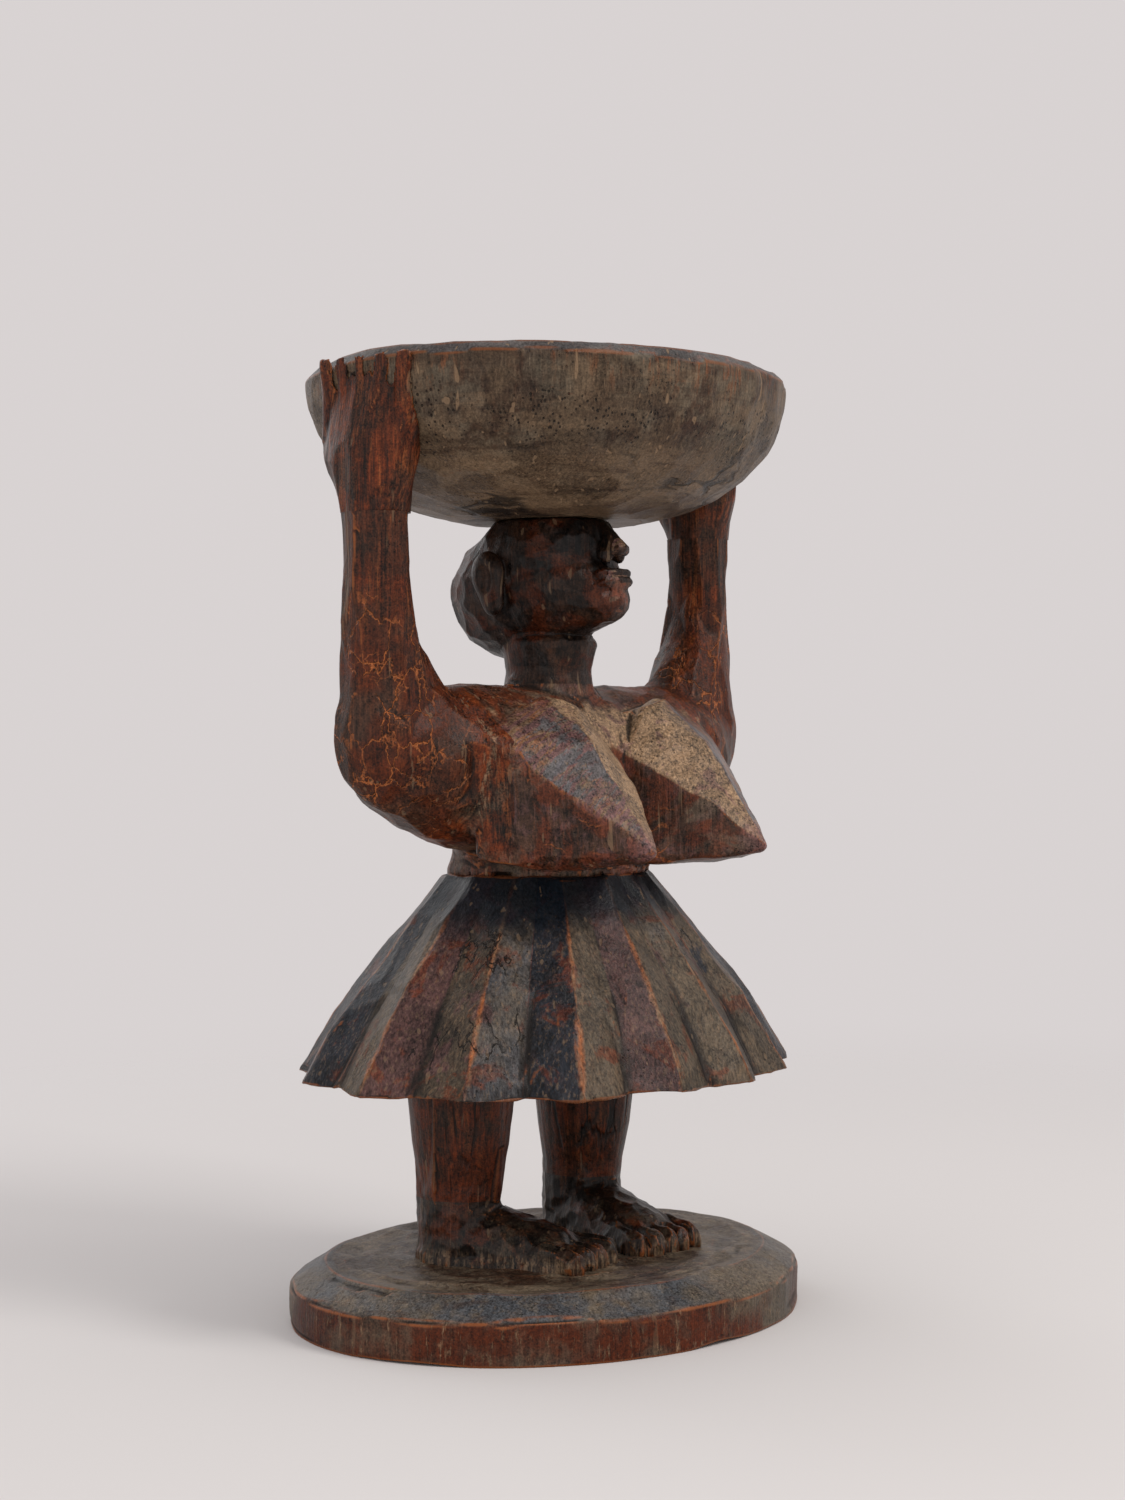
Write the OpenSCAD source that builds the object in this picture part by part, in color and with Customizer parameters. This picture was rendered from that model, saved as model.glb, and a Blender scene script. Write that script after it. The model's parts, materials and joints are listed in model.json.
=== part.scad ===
// Carved ancestor figure: a standing woman in a pleated skirt who holds an offering bowl
// on her head. The real carving is one block of wood. Each carved mass is its own solid here,
// and neighbouring masses meet face to face with no gap and no overlap.
//
// +Z is up, the figure faces -Y, and the origin is the middle of the base's underside.
// Left and right are the figure's own: her right side is at -X.

/* [Base] */
// Width of the base, side to side
base_w = 224; // [186:1:270]
// Depth of the base, front to back
base_d = 188; // [170:1:226]
// Thickness of the base
base_t = 24; // [20:1:32]
// Height of the bevel round the top of the base
bevel_h = 8; // [4:1:12]
// Width of the bevel round the top of the base
bevel_w = 14; // [6:1:18]

/* [Legs] */
// Length of the legs, from the base up to the hem
leg_len = 71; // [60:1:88]
// Distance between the middles of the two legs
stance = 76; // [66:1:88]
// How far behind the middle of the base the legs stand
leg_back = 14; // [6:1:18]
// Width of a leg at the hem, side to side
thigh_w = 44; // [36:1:52]
// Depth of a leg at the hem, front to back
thigh_d = 50; // [42:1:60]
// Width of the ankle, side to side
ankle_w = 31; // [26:1:37]
// Depth of the ankle, front to back
ankle_d = 35; // [30:1:42]

/* [Feet] */
// Length of a foot
foot_len = 81; // [70:1:90]
// Width of a foot across the toes
foot_w = 38; // [32:1:42]
// Height of the instep over the base
instep_h = 24; // [18:1:30]
// Height of the toes over the base
toe_h = 10; // [7:1:13]
// How far the right foot turns in, in degrees
right_foot_turn = 22; // [0:1:26]
// How far the left foot turns in, in degrees
left_foot_turn = 13; // [0:1:26]

/* [Skirt] */
// Length of the skirt, from the hem to the waist
skirt_len = 80; // [64:1:94]
// Width of the hem, side to side
hem_w = 222; // [186:1:258]
// Depth of the hem, front to back
hem_d = 180; // [150:1:212]
// Number of pleats
pleats = 15; // [10:1:24]
// Depth of a pleat at the hem
pleat_depth = 7; // [2:0.5:9]

/* [Waist] */
// Width of the waist, side to side
waist_w = 92; // [78:1:104]
// Depth of the waist, front to back
waist_d = 74; // [62:1:82]
// Height of the waist between the skirt and the underside of the chest
waist_h = 4; // [3:1:8]

/* [Chest] */
// Height of the chest, from its underside to the shoulders
chest_h = 70; // [58:1:84]
// Depth of the chest, front to back
chest_d = 72; // [62:1:84]
// How far from the middle the chest ends and the upper arm starts
shoulder_x = 62; // [54:1:68]
// How far the breasts stand out in front of the middle
breast_reach = 82; // [68:1:88]
// Distance between the tips of the breasts
breast_gap = 70; // [60:1:78]
// Height of the tips over the underside of the chest
tip_rise = 7; // [4:1:14]

/* [Arms] */
// Diameter of the forearm
arm_d = 26; // [21:1:32]
// How far the forearm's middle is set in from the bowl's widest point
arm_inset = 9; // [6:1:12]
// Length of the hand, from the wrist up to the rim
hand_len = 62; // [52:1:72]
// Width of the hand across the fingers
hand_w = 48; // [40:1:56]
// How far the hand stands proud of the bowl
hand_proud = 1; // [0:0.5:4]

/* [Head] */
// Width of the head, side to side
head_w = 58; // [50:1:66]
// Depth of the head, front to back
head_d = 84; // [70:1:96]
// Height of the head, from the neck up to the bowl
head_h = 53; // [44:1:64]
// Height of the neck
neck_h = 12; // [9:1:16]
// Diameter of the neck
neck_d = 34; // [28:1:40]

/* [Bowl] */
// Width of the bowl at its rim, side to side
rim_w = 216; // [180:1:260]
// Depth of the bowl at its rim, front to back
rim_d = 174; // [148:1:206]
// Height of the bowl
bowl_h = 60; // [50:1:72]
// Thickness of the bowl's wall
bowl_wall = 10; // [8:1:13]
// Thickness of the bowl's floor
bowl_floor = 12; // [10:1:18]
// Height of the chamfer round the rim
rim_chamfer = 4; // [2:1:6]

/* [Hidden] */

// Heights over the floor of each joint between two masses
hem_z = base_t + leg_len;
waist_z = hem_z + skirt_len;
chest_z = waist_z + waist_h;
shoulder_z = chest_z + chest_h;
chin_z = shoulder_z + neck_h;
bowl_z = chin_z + head_h;
rim_z = bowl_z + bowl_h;
wrist_z = rim_z - hand_len;
// The top of each foot, and the crook of each arm
ankle_z = base_t + instep_h;
crook_z = shoulder_z - 4;

// Where the forearms stand, and how far out the elbows reach
arm_x = rim_w / 2 - arm_inset;
elbow_x = arm_x + arm_d / 2 + 1;

// Facets round a curved mass, and round a small one
round_fn = 28;
small_fn = 16;
// Bigger than the figure in every direction, for the blocks that cut a mass off flat
far = 600;
// Overlap that lets one shape cut cleanly through another
over = 5;

dark_wood = [0.20, 0.12, 0.10];
red_wood = [0.34, 0.15, 0.10];
grey_wood = [0.30, 0.26, 0.22];
worn_wood = [0.45, 0.31, 0.22];

// ---- shared shapes ----

// An ellipsoid at p with the half sizes in s
module ball(p, s, fn = round_fn) {
    translate(p) scale(s) sphere(r = 1, $fn = fn);
}

// A smooth limb through a list of [position, half sizes]
module limb(stations, fn = round_fn) {
    for (i = [0 : len(stations) - 2])
        hull() {
            ball(stations[i][0], stations[i][1], fn);
            ball(stations[i + 1][0], stations[i + 1][1], fn);
        }
}

// Everything above the height z
module above(z) {
    translate([-far / 2, -far / 2, z]) cube(far);
}

// Everything below the height z
module below(z) {
    translate([-far / 2, -far / 2, z - far]) cube(far);
}

// The figure's left side of the plane at x
module left_of(x) {
    translate([x, -far / 2, -far / 2]) cube(far);
}

// Her left side's shapes are her right side's, mirrored
module left_side() {
    mirror([1, 0, 0]) children();
}

// A closed solid through rings that all have the same number of points
module loft(rings) {
    n = len(rings[0]);
    last = len(rings) - 1;
    middle = function (ring) [for (k = [0 : 2]) [for (p = ring) p[k]] * [for (p = ring) 1] / n];
    points = concat([for (ring = rings) each ring], [middle(rings[0]), middle(rings[last])]);
    sides = [
        for (j = [0 : last - 1], i = [0 : n - 1])
            let (a = j * n + i, b = j * n + (i + 1) % n)
                each [[a, a + n, b], [b, a + n, b + n]]
    ];
    bottom = [for (i = [0 : n - 1]) [n * (last + 1), i, (i + 1) % n]];
    top = [for (i = [0 : n - 1]) [n * (last + 1) + 1, last * n + (i + 1) % n, last * n + i]];
    polyhedron(points, concat(sides, bottom, top));
}

// ---- base ----

base_sides = 36;
// The hand-cut outline is a little flat in places, by this share of its radius
base_wander = 0.006;

function base_outline(inset) = [
    for (i = [0 : base_sides - 1])
        let (a = 360 * i / base_sides, wander = 1 - base_wander * (1 - cos(6 * a)))
            [(base_w / 2 * wander - inset) * cos(a), (base_d / 2 * wander - inset) * sin(a)]
];

module base() {
    edge_h = base_t - bevel_h;
    color(grey_wood) {
        linear_extrude(edge_h) polygon(base_outline(0));
        hull() {
            translate([0, 0, edge_h - 1]) linear_extrude(1) polygon(base_outline(0));
            translate([0, 0, base_t - 1]) linear_extrude(1) polygon(base_outline(bevel_w));
        }
    }
}

// ---- legs and feet ----

toes = 5;

// One leg from inside the base up to the hem, a column that narrows to the ankle
module leg_column() {
    translate([-stance / 2, leg_back, 0])
        limb([
            [[0, 0, base_t], [ankle_w / 2, ankle_d / 2, 10]],
            [[0, 0, base_t + leg_len * 0.33], [ankle_w / 2 + 0.5, ankle_d / 2 + 0.5, 12]],
            [[0, -1, base_t + leg_len * 0.65], [thigh_w / 2 - 2, thigh_d / 2 - 3, 14]],
            [[0, -1, hem_z], [thigh_w / 2, thigh_d / 2, 14]]
        ]);
}

// One foot, heel under the leg, toes to the front, standing on the base
module foot(turn) {
    heel_y = ankle_d / 2;
    toe_y = heel_y - foot_len;
    toe_w = foot_w / toes;
    intersection() {
        union() {
            leg_column();
            translate([-stance / 2, leg_back, base_t]) rotate([0, 0, turn]) {
                // heel
                hull() {
                    ball([0, heel_y - ankle_w / 2, 2], [ankle_w / 2 + 1, ankle_w / 2, instep_h - 10]);
                    ball([0, -ankle_d / 4, 6], [ankle_w / 2 + 1, ankle_d / 3, instep_h - 6]);
                }
                // instep, falling to the ball of the foot
                hull() {
                    ball([0, -ankle_d / 4, 6], [ankle_w / 2 + 1, ankle_d / 3, instep_h - 6]);
                    ball([1, toe_y * 0.62, 0], [foot_w / 2 - 1, 12, toe_h + 4]);
                }
                for (i = [0 : toes - 1]) {
                    x = (i - (toes - 1) / 2) * toe_w;
                    // the toes get shorter away from the second one
                    toe_back = 2.2 * abs(i - 3);
                    hull() {
                        ball([x * 0.9, toe_y * 0.62, 2], [toe_w * 0.62, 8, toe_h - 1], small_fn);
                        ball([x, toe_y + 6 + toe_back, 1], [toe_w * 0.55, 6, toe_h - 2], small_fn);
                    }
                }
                // sole, which spreads a little over the base
                hull() {
                    ball([0, heel_y - ankle_w / 2 - 1, 0], [ankle_w / 2 + 2, ankle_w / 2 + 1, 4]);
                    ball([0, toe_y * 0.66, 0], [foot_w / 2 + 1, 12, 4]);
                }
            }
        }
        above(base_t);
        below(ankle_z);
    }
}

module leg() {
    intersection() {
        leg_column();
        above(ankle_z);
        below(hem_z);
    }
}

module right_foot() {
    color(dark_wood) foot(right_foot_turn);
}

module left_foot() {
    color(dark_wood) left_side() foot(left_foot_turn);
}

module right_leg() {
    color(red_wood) leg();
}

module left_leg() {
    color(red_wood) left_side() leg();
}

// ---- skirt and waist ----

skirt_rings = 8;
// Above 1 the skirt bulges, at 1 it is a straight cone
skirt_flare = 1.22;
// Points along each pleat, from one fold over the ridge to the next fold
pleat_points = 4;
// Angle of the first fold, and how far the pleats drift from even spacing, in degrees
pleat_start = 2;
pleat_drift = 4;
// The folds are this much shallower at the waist than at the hem, as a share
pleat_fade = 0.8;

// Where a pleat's point lies round the skirt, at a place counted in pleats
function pleat_angle(place) = let (a = pleat_start + 360 * place / pleats)
    a + pleat_drift * cos(2 * a + 250);

function skirt_ring(t) = let (
    w = hem_w + (waist_w - hem_w) * pow(t, skirt_flare),
    d = hem_d + (waist_d - hem_d) * pow(t, skirt_flare),
    depth = pleat_depth * (1 - pleat_fade * t)
) [
    for (p = [0 : pleats - 1], k = [0 : pleat_points - 1])
        let (
            a = pleat_angle(p + k / pleat_points),
            inset = depth * abs(1 - 2 * k / pleat_points)
        )
            [(w / 2 - inset) * cos(a), (d / 2 - inset) * sin(a), hem_z + skirt_len * t]
];

module skirt() {
    color(dark_wood) loft([for (i = [0 : skirt_rings]) skirt_ring(i / skirt_rings)]);
}

module waist() {
    color(red_wood) difference() {
        hull() {
            translate([0, 0, waist_z]) scale([waist_w / 2, waist_d / 2, 1])
                cylinder(r = 1, h = 1, $fn = round_fn);
            translate([0, 0, chest_z + 10]) scale([waist_w / 2 - 4, waist_d / 2 - 4, 1])
                cylinder(r = 1, h = 1, $fn = round_fn);
        }
        yoke();
        breast_shape();
        left_side() breast_shape();
    }
}

// ---- chest, upper arms and breasts ----

// The widest height of the chest and how far its top lies over that
yoke_z = shoulder_z - 25;
yoke_top = shoulder_z - yoke_z;
yoke_drop = yoke_z - chest_z;

// One station of the yoke: round below like a boat, nearly flat above
function yoke_station(x) = let (
    s = sqrt(max(0.02, 1 - pow(x / elbow_x, 2))),
    drop = yoke_drop * s,
    d = chest_d / 2 * pow(s, 0.9)
) [[x, 0, yoke_z + (yoke_top - drop) / 2], [5, d, (drop + yoke_top) / 2]];

// Chest and both upper arms, one mass from elbow to elbow
module yoke() {
    half = [1, 0.95, 0.86, 0.72, 0.5, 0.25];
    reach = elbow_x - 5;
    limb([
        for (h = half) yoke_station(-h * reach),
        yoke_station(0),
        for (i = [len(half) - 1 : -1 : 0]) yoke_station(half[i] * reach)
    ]);
}

module torso() {
    color(red_wood) intersection() {
        yoke();
        left_of(-shoulder_x);
        left_side() left_of(-shoulder_x);
    }
}

// One breast, a pyramid with worn ridges that juts forwards and down
module breast_shape() {
    mid_x = -breast_gap / 2;
    outer_x = -shoulder_x - 7;
    inner_x = -7;
    root_y = -chest_d / 3;
    tip_y = 5 - breast_reach;
    tip_z = chest_z + tip_rise;
    under_z = waist_z + 4;
    half_y = (root_y + tip_y) / 2;
    difference() {
        hull() {
            ball([mid_x, tip_y, tip_z], [4, 5, 4], small_fn);
            // ridge along the top, from the shoulder to the tip
            ball([mid_x, root_y - 3, shoulder_z - 8], [5, 4, 4], small_fn);
            ball([mid_x + 10, root_y - 6, shoulder_z - 14], [7, 7, 7], small_fn);
            ball([mid_x, half_y + 2, tip_z + 37], [5, 5, 5], small_fn);
            // ridge along the outer side, which starts flush with the arm
            ball([outer_x, root_y - 3, yoke_z + 4], [3, 3, 3], small_fn);
            ball([mid_x - 15, half_y + 4, tip_z + 24], [3, 3, 3], small_fn);
            // ridge along the inner side, from the cleft to the tip
            ball([inner_x, root_y - 11, tip_z + 33], [4, 4, 6], small_fn);
            ball([mid_x + 15, half_y - 9, tip_z + 19], [3, 3, 3], small_fn);
            // underside, which draws back towards the waist
            ball([outer_x + 8, root_y + 2, under_z + 6], [5, 5, 5], small_fn);
            ball([mid_x - 8, half_y + 2, under_z + 3], [5, 5, 4], small_fn);
            ball([inner_x - 4, half_y + 10, under_z + 3], [5, 5, 4], small_fn);
        }
        left_of(0);
        below(waist_z + 1);
    }
}
module breast() {
    difference() {
        breast_shape();
        yoke();
    }
}

module right_breast() {
    color(worn_wood) breast();
}

module left_breast() {
    color(worn_wood) left_side() breast();
}

// ---- upper arms, forearms and hands ----

// One bent arm from the end of the shoulder round the elbow and up past the wrist
module arm_shape() {
    r = arm_d / 2;
    difference() {
        union() {
            yoke();
            limb([
                [[-arm_x, 0, yoke_z + 8], [r + 1, r + 2, 16]],
                [[-arm_x + 10, 0, shoulder_z - 6], [r + 10, r + 4, 14]],
                [[-arm_x + 2, 0, shoulder_z + 14], [r + 2.5, r + 1.5, 14]],
                [[-arm_x, 0, shoulder_z + 34], [r, r, 14]],
                [[-arm_x, 0, wrist_z + over], [r, r, 10]]
            ]);
        }
        left_of(-shoulder_x);
    }
}

module upper_arm() {
    intersection() {
        arm_shape();
        below(crook_z);
    }
}

module forearm() {
    intersection() {
        arm_shape();
        above(crook_z);
        below(wrist_z);
    }
}

fingers = 5;

// Open hand that lies along the end of the bowl, with its fingers up to the rim
module hand() {
    r = arm_d / 2;
    palm_x = rim_w / 2 + hand_proud - r;
    finger_w = hand_w / fingers;
    // the finger tips stop this far below the rim
    tip_drop = rim_chamfer;
    difference() {
        union() {
            limb([
                [[-arm_x, 0, wrist_z], [r, r, 10]],
                [[-arm_x, 0, wrist_z + hand_len * 0.35], [r, r + 5, 14]],
                [[-palm_x, 0, rim_z - 16], [r - 1, hand_w / 2 - 2, 20]]
            ]);
            for (i = [0 : fingers - 1]) {
                y = (i - (fingers - 1) / 2) * finger_w;
                curve = 0.004 * y * y;
                hull() {
                    ball([-palm_x - r + 9 + curve, y * 0.8, rim_z - hand_len * 0.5],
                         [7, finger_w * 0.5, 7], small_fn);
                    ball([-palm_x - r + 7 + curve, y, rim_z - 6],
                         [7, finger_w * 0.58, 7], small_fn);
                }
            }
        }
        below(wrist_z);
        above(rim_z - tip_drop);
        bowl_outside();
    }
}

module right_upper_arm() {
    color(red_wood) upper_arm();
}

module left_upper_arm() {
    color(red_wood) left_side() upper_arm();
}

module right_forearm() {
    color(red_wood) forearm();
}

module left_forearm() {
    color(red_wood) left_side() forearm();
}

module right_hand() {
    color(red_wood) hand();
}

module left_hand() {
    color(red_wood) left_side() hand();
}

// ---- neck and head ----

module neck() {
    color(dark_wood) difference() {
        limb([
            [[0, 0, shoulder_z - 6], [neck_d / 2 + 4, neck_d / 2 + 3, 7]],
            [[0, 0, shoulder_z + neck_h / 2], [neck_d / 2, neck_d / 2, 8]],
            [[0, 0, chin_z + 4], [neck_d / 2 + 2, neck_d / 2 + 3, 8]]
        ]);
        yoke();
        head_shape();
    }
}

// The head looks up by this angle, in degrees
head_tilt = 20;

module head_shape() {
    mid = [0, 1, chin_z + head_h * 0.52];
    hw = head_w / 2;
    hd = head_d / 2;
    hh = head_h * 0.6;
    intersection() {
        translate(mid) rotate([-head_tilt, 0, 0]) {
            // skull
            hull() {
                ball([0, hd * 0.28, 2], [hw, hd * 0.72, hh * 0.86]);
                ball([0, -hd * 0.1, hh * 0.3], [hw * 0.92, hd * 0.72, hh * 0.8]);
            }
            // cheeks and jaw
            hull() {
                ball([0, -hd * 0.05, -hh * 0.1], [hw * 0.9, hd * 0.7, hh * 0.7]);
                ball([0, -hd * 0.62, -hh * 0.5], [hw * 0.42, hd * 0.2, hh * 0.3], small_fn);
            }
            // nose
            hull() {
                ball([0, -hd * 0.78, hh * 0.42], [3, 3, 3], small_fn);
                ball([0, -hd * 0.95, -hh * 0.02], [5, 3, 3], small_fn);
            }
            for (side = [-1, 1]) {
                // wing of the nose
                hull() {
                    ball([side * 4, -hd * 0.84, -hh * 0.04], [3, 3, 3], small_fn);
                    ball([side * 2, -hd * 0.8, hh * 0.1], [3, 3, 3], small_fn);
                }
                // eyelid
                hull() {
                    ball([side * hw * 0.3, -hd * 0.7, hh * 0.27], [3, 4, 3], small_fn);
                    ball([side * hw * 0.58, -hd * 0.58, hh * 0.27], [3, 4, 3], small_fn);
                }
            }
            // lips, upper and lower
            for (z = [-0.26, -0.38])
                hull()
                    for (side = [-1, 1])
                        ball([side * hw * 0.2, -hd * 0.78, hh * z], [4, 4, 2.2], small_fn);
        }
        below(bowl_z);
    }
}

module head() {
    color(dark_wood) head_shape();
}

module ear() {
    mid = [-head_w / 2 + 1, 4, chin_z + head_h * 0.5];
    difference() {
        hull() {
            ball(mid + [-2, 2, 5], [4, 8, 9], small_fn);
            ball(mid + [-1, 0, -6], [3, 5, 6], small_fn);
        }
        ball(mid + [-7, 1, 2], [4, 4, 8], small_fn);
        head_shape();
    }
}

module right_ear() {
    color(dark_wood) ear();
}

module left_ear() {
    color(dark_wood) left_side() ear();
}

// ---- bowl ----

bowl_sides = 48;
bowl_rings = 9;
// Share of the theoretical depth at which the rounded outside is cut off flat
bowl_cut = 0.95;

// Share of the rim's radius that the bowl has at depth u, from 0 at the rim to 1
function bowl_share(u) = pow(1 - pow(u, 2.2), 0.42);

// Rounded body of a bowl from its rim at z down to the depth h
module bowl_body(w, d, z, h) {
    hull()
        for (i = [0 : bowl_rings])
            let (u = bowl_cut * sin(90 * i / bowl_rings), s = bowl_share(u))
                translate([0, 0, z - h * u / bowl_cut]) scale([w / 2 * s, d / 2 * s, 1])
                    mirror([0, 0, i == 0 ? 1 : 0])
                        cylinder(r = 1, h = 0.01, $fn = bowl_sides);
}

// The bowl before it is hollowed, which everything under it is cut to
module bowl_outside() {
    bowl_body(rim_w, rim_d, rim_z - rim_chamfer, bowl_h - rim_chamfer);
}

module bowl() {
    color(grey_wood) difference() {
        union() {
            bowl_outside();
            hull() {
                translate([0, 0, rim_z - rim_chamfer - 0.01])
                    scale([rim_w / 2, rim_d / 2, 1]) cylinder(r = 1, h = 0.01, $fn = bowl_sides);
                translate([0, 0, rim_z - 0.01])
                    scale([rim_w / 2 - rim_chamfer, rim_d / 2 - rim_chamfer, 1])
                        cylinder(r = 1, h = 0.01, $fn = bowl_sides);
            }
        }
        bowl_body(rim_w - 2 * bowl_wall, rim_d - 2 * bowl_wall, rim_z + 1,
                  bowl_h - bowl_floor + 1);
    }
}

base();
right_foot();
left_foot();
right_leg();
left_leg();
skirt();
waist();
torso();
right_breast();
left_breast();
right_upper_arm();
left_upper_arm();
right_forearm();
left_forearm();
right_hand();
left_hand();
neck();
head();
right_ear();
left_ear();
bowl();
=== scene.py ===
"""Gives a carved wooden bowl bearer its hand-cut surface and its worn patina."""

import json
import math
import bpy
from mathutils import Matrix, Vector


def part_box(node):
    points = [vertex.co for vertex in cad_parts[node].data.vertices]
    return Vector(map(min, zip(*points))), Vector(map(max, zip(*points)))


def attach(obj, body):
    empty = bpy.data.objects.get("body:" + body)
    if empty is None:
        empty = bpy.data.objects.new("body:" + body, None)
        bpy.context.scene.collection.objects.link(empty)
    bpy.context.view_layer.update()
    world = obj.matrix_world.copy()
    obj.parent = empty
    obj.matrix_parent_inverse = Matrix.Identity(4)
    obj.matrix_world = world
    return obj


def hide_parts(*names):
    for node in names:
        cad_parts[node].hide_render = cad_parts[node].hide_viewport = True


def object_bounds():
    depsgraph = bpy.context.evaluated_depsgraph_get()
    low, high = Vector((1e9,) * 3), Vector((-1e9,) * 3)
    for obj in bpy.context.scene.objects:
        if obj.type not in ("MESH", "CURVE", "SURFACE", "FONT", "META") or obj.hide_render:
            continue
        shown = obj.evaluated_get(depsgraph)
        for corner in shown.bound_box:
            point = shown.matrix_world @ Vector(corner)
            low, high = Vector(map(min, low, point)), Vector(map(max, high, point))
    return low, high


bl_info = {
    "name": "Carved Bowl Bearer",
    "version": (1, 0, 0),
    "blender": (4, 5, 0),
    "location": "View3D > Sidebar > Carving",
    "description": "Carves and colours a standing wooden figure that holds a bowl on her head",
    "category": "Object",
}

import bmesh
import bpy
import numpy as np
from bpy.props import FloatProperty, FloatVectorProperty, IntProperty, PointerProperty
from mathutils import Vector, kdtree

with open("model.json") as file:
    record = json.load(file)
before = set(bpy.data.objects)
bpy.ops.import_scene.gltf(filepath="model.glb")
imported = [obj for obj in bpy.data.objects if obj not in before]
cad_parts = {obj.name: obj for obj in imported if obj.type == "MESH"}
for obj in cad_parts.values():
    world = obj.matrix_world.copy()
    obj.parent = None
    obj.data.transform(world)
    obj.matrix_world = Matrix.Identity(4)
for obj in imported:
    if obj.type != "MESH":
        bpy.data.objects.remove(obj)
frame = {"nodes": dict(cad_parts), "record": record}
CAD_BOX = [list(corner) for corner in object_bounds()]
MM = 0.001
VIEW_ANGLE = math.radians(-50)
SIDES = {"right": -1, "left": 1}


def span(node):
    low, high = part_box(node)
    return high - low


# ---- settings that a user would change ----


def length(name, about, default, low, high):
    return FloatProperty(name=name, description=about, default=default, min=low, max=high,
                         precision=4, subtype="DISTANCE", unit="LENGTH")


def count(name, about, default, low, high):
    return IntProperty(name=name, description=about, default=default, min=low, max=high)


def share(name, about, default, low=0.0, high=1.0):
    return FloatProperty(name=name, description=about, default=default, min=low, max=high)


def tint(name, about, default):
    return FloatVectorProperty(name=name, description=about, default=default, min=0, max=1,
                               size=3, subtype="COLOR")


class CarvingSizes(bpy.types.PropertyGroup):
    fine: length("Fine Grid", "Mesh spacing on the head", 0.6 * MM, 0.4 * MM, 2 * MM)
    medium: length("Medium Grid", "Mesh spacing on feet and hands", 0.7 * MM, 0.5 * MM, 3 * MM)
    coarse: length("Coarse Grid", "Mesh spacing on the trunk and arms", 0.95 * MM, 0.6 * MM, 4 * MM)
    wide: length("Wide Grid", "Mesh spacing on the base, skirt and bowl", 1.05 * MM, 0.8 * MM, 4 * MM)
    seed: count("Seed", "Changes where the cuts fall", 7, 0, 999)


class SkirtSizes(bpy.types.PropertyGroup):
    pleats: count("Pleats", "Number of pleats round the skirt", 15, 6, 30)
    depth: length("Pleat Depth", "How deep the folds are at the hem", 7 * MM, 1 * MM, 12 * MM)
    fade: share("Pleat Fade", "How much of that depth is gone at the waist", 0.8)
    flare: FloatProperty(name="Flare", description="1 is a straight cone, more bulges",
                         default=1.22, min=1, max=2)
    start: FloatProperty(name="First Fold", description="Angle of the first fold",
                         default=math.radians(2), subtype="ANGLE")
    drift: FloatProperty(name="Drift", description="How far the pleats wander from even spacing",
                         default=math.radians(4), subtype="ANGLE")
    undercut: length("Undercut", "Hollow under the hem", 5 * MM, 0, 12 * MM)


class PatinaColours(bpy.types.PropertyGroup):
    soot_and_shade: tint("Soot", "Dirt in the hollows", (0.008, 0.006, 0.005))
    umber: tint("Umber", "Dark patina", (0.052, 0.026, 0.016))
    rust: tint("Rust", "Red stain on the arms and legs", (0.150, 0.030, 0.008))
    ember: tint("Ember", "Bare wood on worn edges", (0.460, 0.140, 0.040))
    tan: tint("Tan", "Rubbed wood on the ridges", (0.440, 0.285, 0.165))
    slate: tint("Slate", "Blue-grey bloom", (0.070, 0.075, 0.082))
    indigo: tint("Indigo", "Blue-black stain in the skirt", (0.010, 0.017, 0.026))
    plum: tint("Plum", "Purple-brown stain", (0.105, 0.052, 0.050))
    olive: tint("Olive", "Dusty grey-brown", (0.140, 0.108, 0.073))
    floor: tint("Backdrop", "Pale floor and backdrop", (0.690, 0.650, 0.648))


def sizes():
    return bpy.context.scene.carving_sizes


def skirt_sizes():
    return bpy.context.scene.skirt_sizes


def colours():
    return bpy.context.scene.patina_colours


# ---- node trees written as expressions ----


class Wire:
    """An output in a node tree. Arithmetic on it adds the nodes that work it out."""

    def __init__(self, tree, socket):
        self.tree = tree
        self.socket = socket

    def maths(self, operation, *others, clamp=False):
        node = self.tree.nodes.new("ShaderNodeMath")
        node.operation = operation
        node.use_clamp = clamp
        for place, value in enumerate((self, *others)):
            plug(self.tree, value, node.inputs[place])
        return Wire(self.tree, node.outputs[0])

    def __add__(self, other):
        return self.maths("ADD", other)

    def __sub__(self, other):
        return self.maths("SUBTRACT", other)

    def __mul__(self, other):
        return self.maths("MULTIPLY", other)

    def __truediv__(self, other):
        return self.maths("DIVIDE", other)

    def __pow__(self, other):
        return self.maths("POWER", other)

    def __rsub__(self, other):
        return Wire(self.tree, constant(self.tree, other)).maths("SUBTRACT", self)

    def __rtruediv__(self, other):
        return Wire(self.tree, constant(self.tree, other)).maths("DIVIDE", self)

    __radd__ = __add__
    __rmul__ = __mul__

    def clamped(self):
        return self.maths("ADD", 0, clamp=True)

    def step(self, low, high):
        """0 below low, 1 above high and smooth between them."""
        node = self.tree.nodes.new("ShaderNodeMapRange")
        node.interpolation_type = "SMOOTHSTEP"
        for name, value in (("Value", self), ("From Min", low), ("From Max", high)):
            plug(self.tree, value, node.inputs[name])
        return Wire(self.tree, node.outputs["Result"])


def plug(tree, value, socket):
    if isinstance(value, Wire):
        tree.links.new(value.socket, socket)
    elif isinstance(value, bpy.types.NodeSocket):
        tree.links.new(value, socket)
    else:
        socket.default_value = value


def constant(tree, value):
    node = tree.nodes.new("ShaderNodeValue")
    node.outputs[0].default_value = value
    return node.outputs[0]


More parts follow.
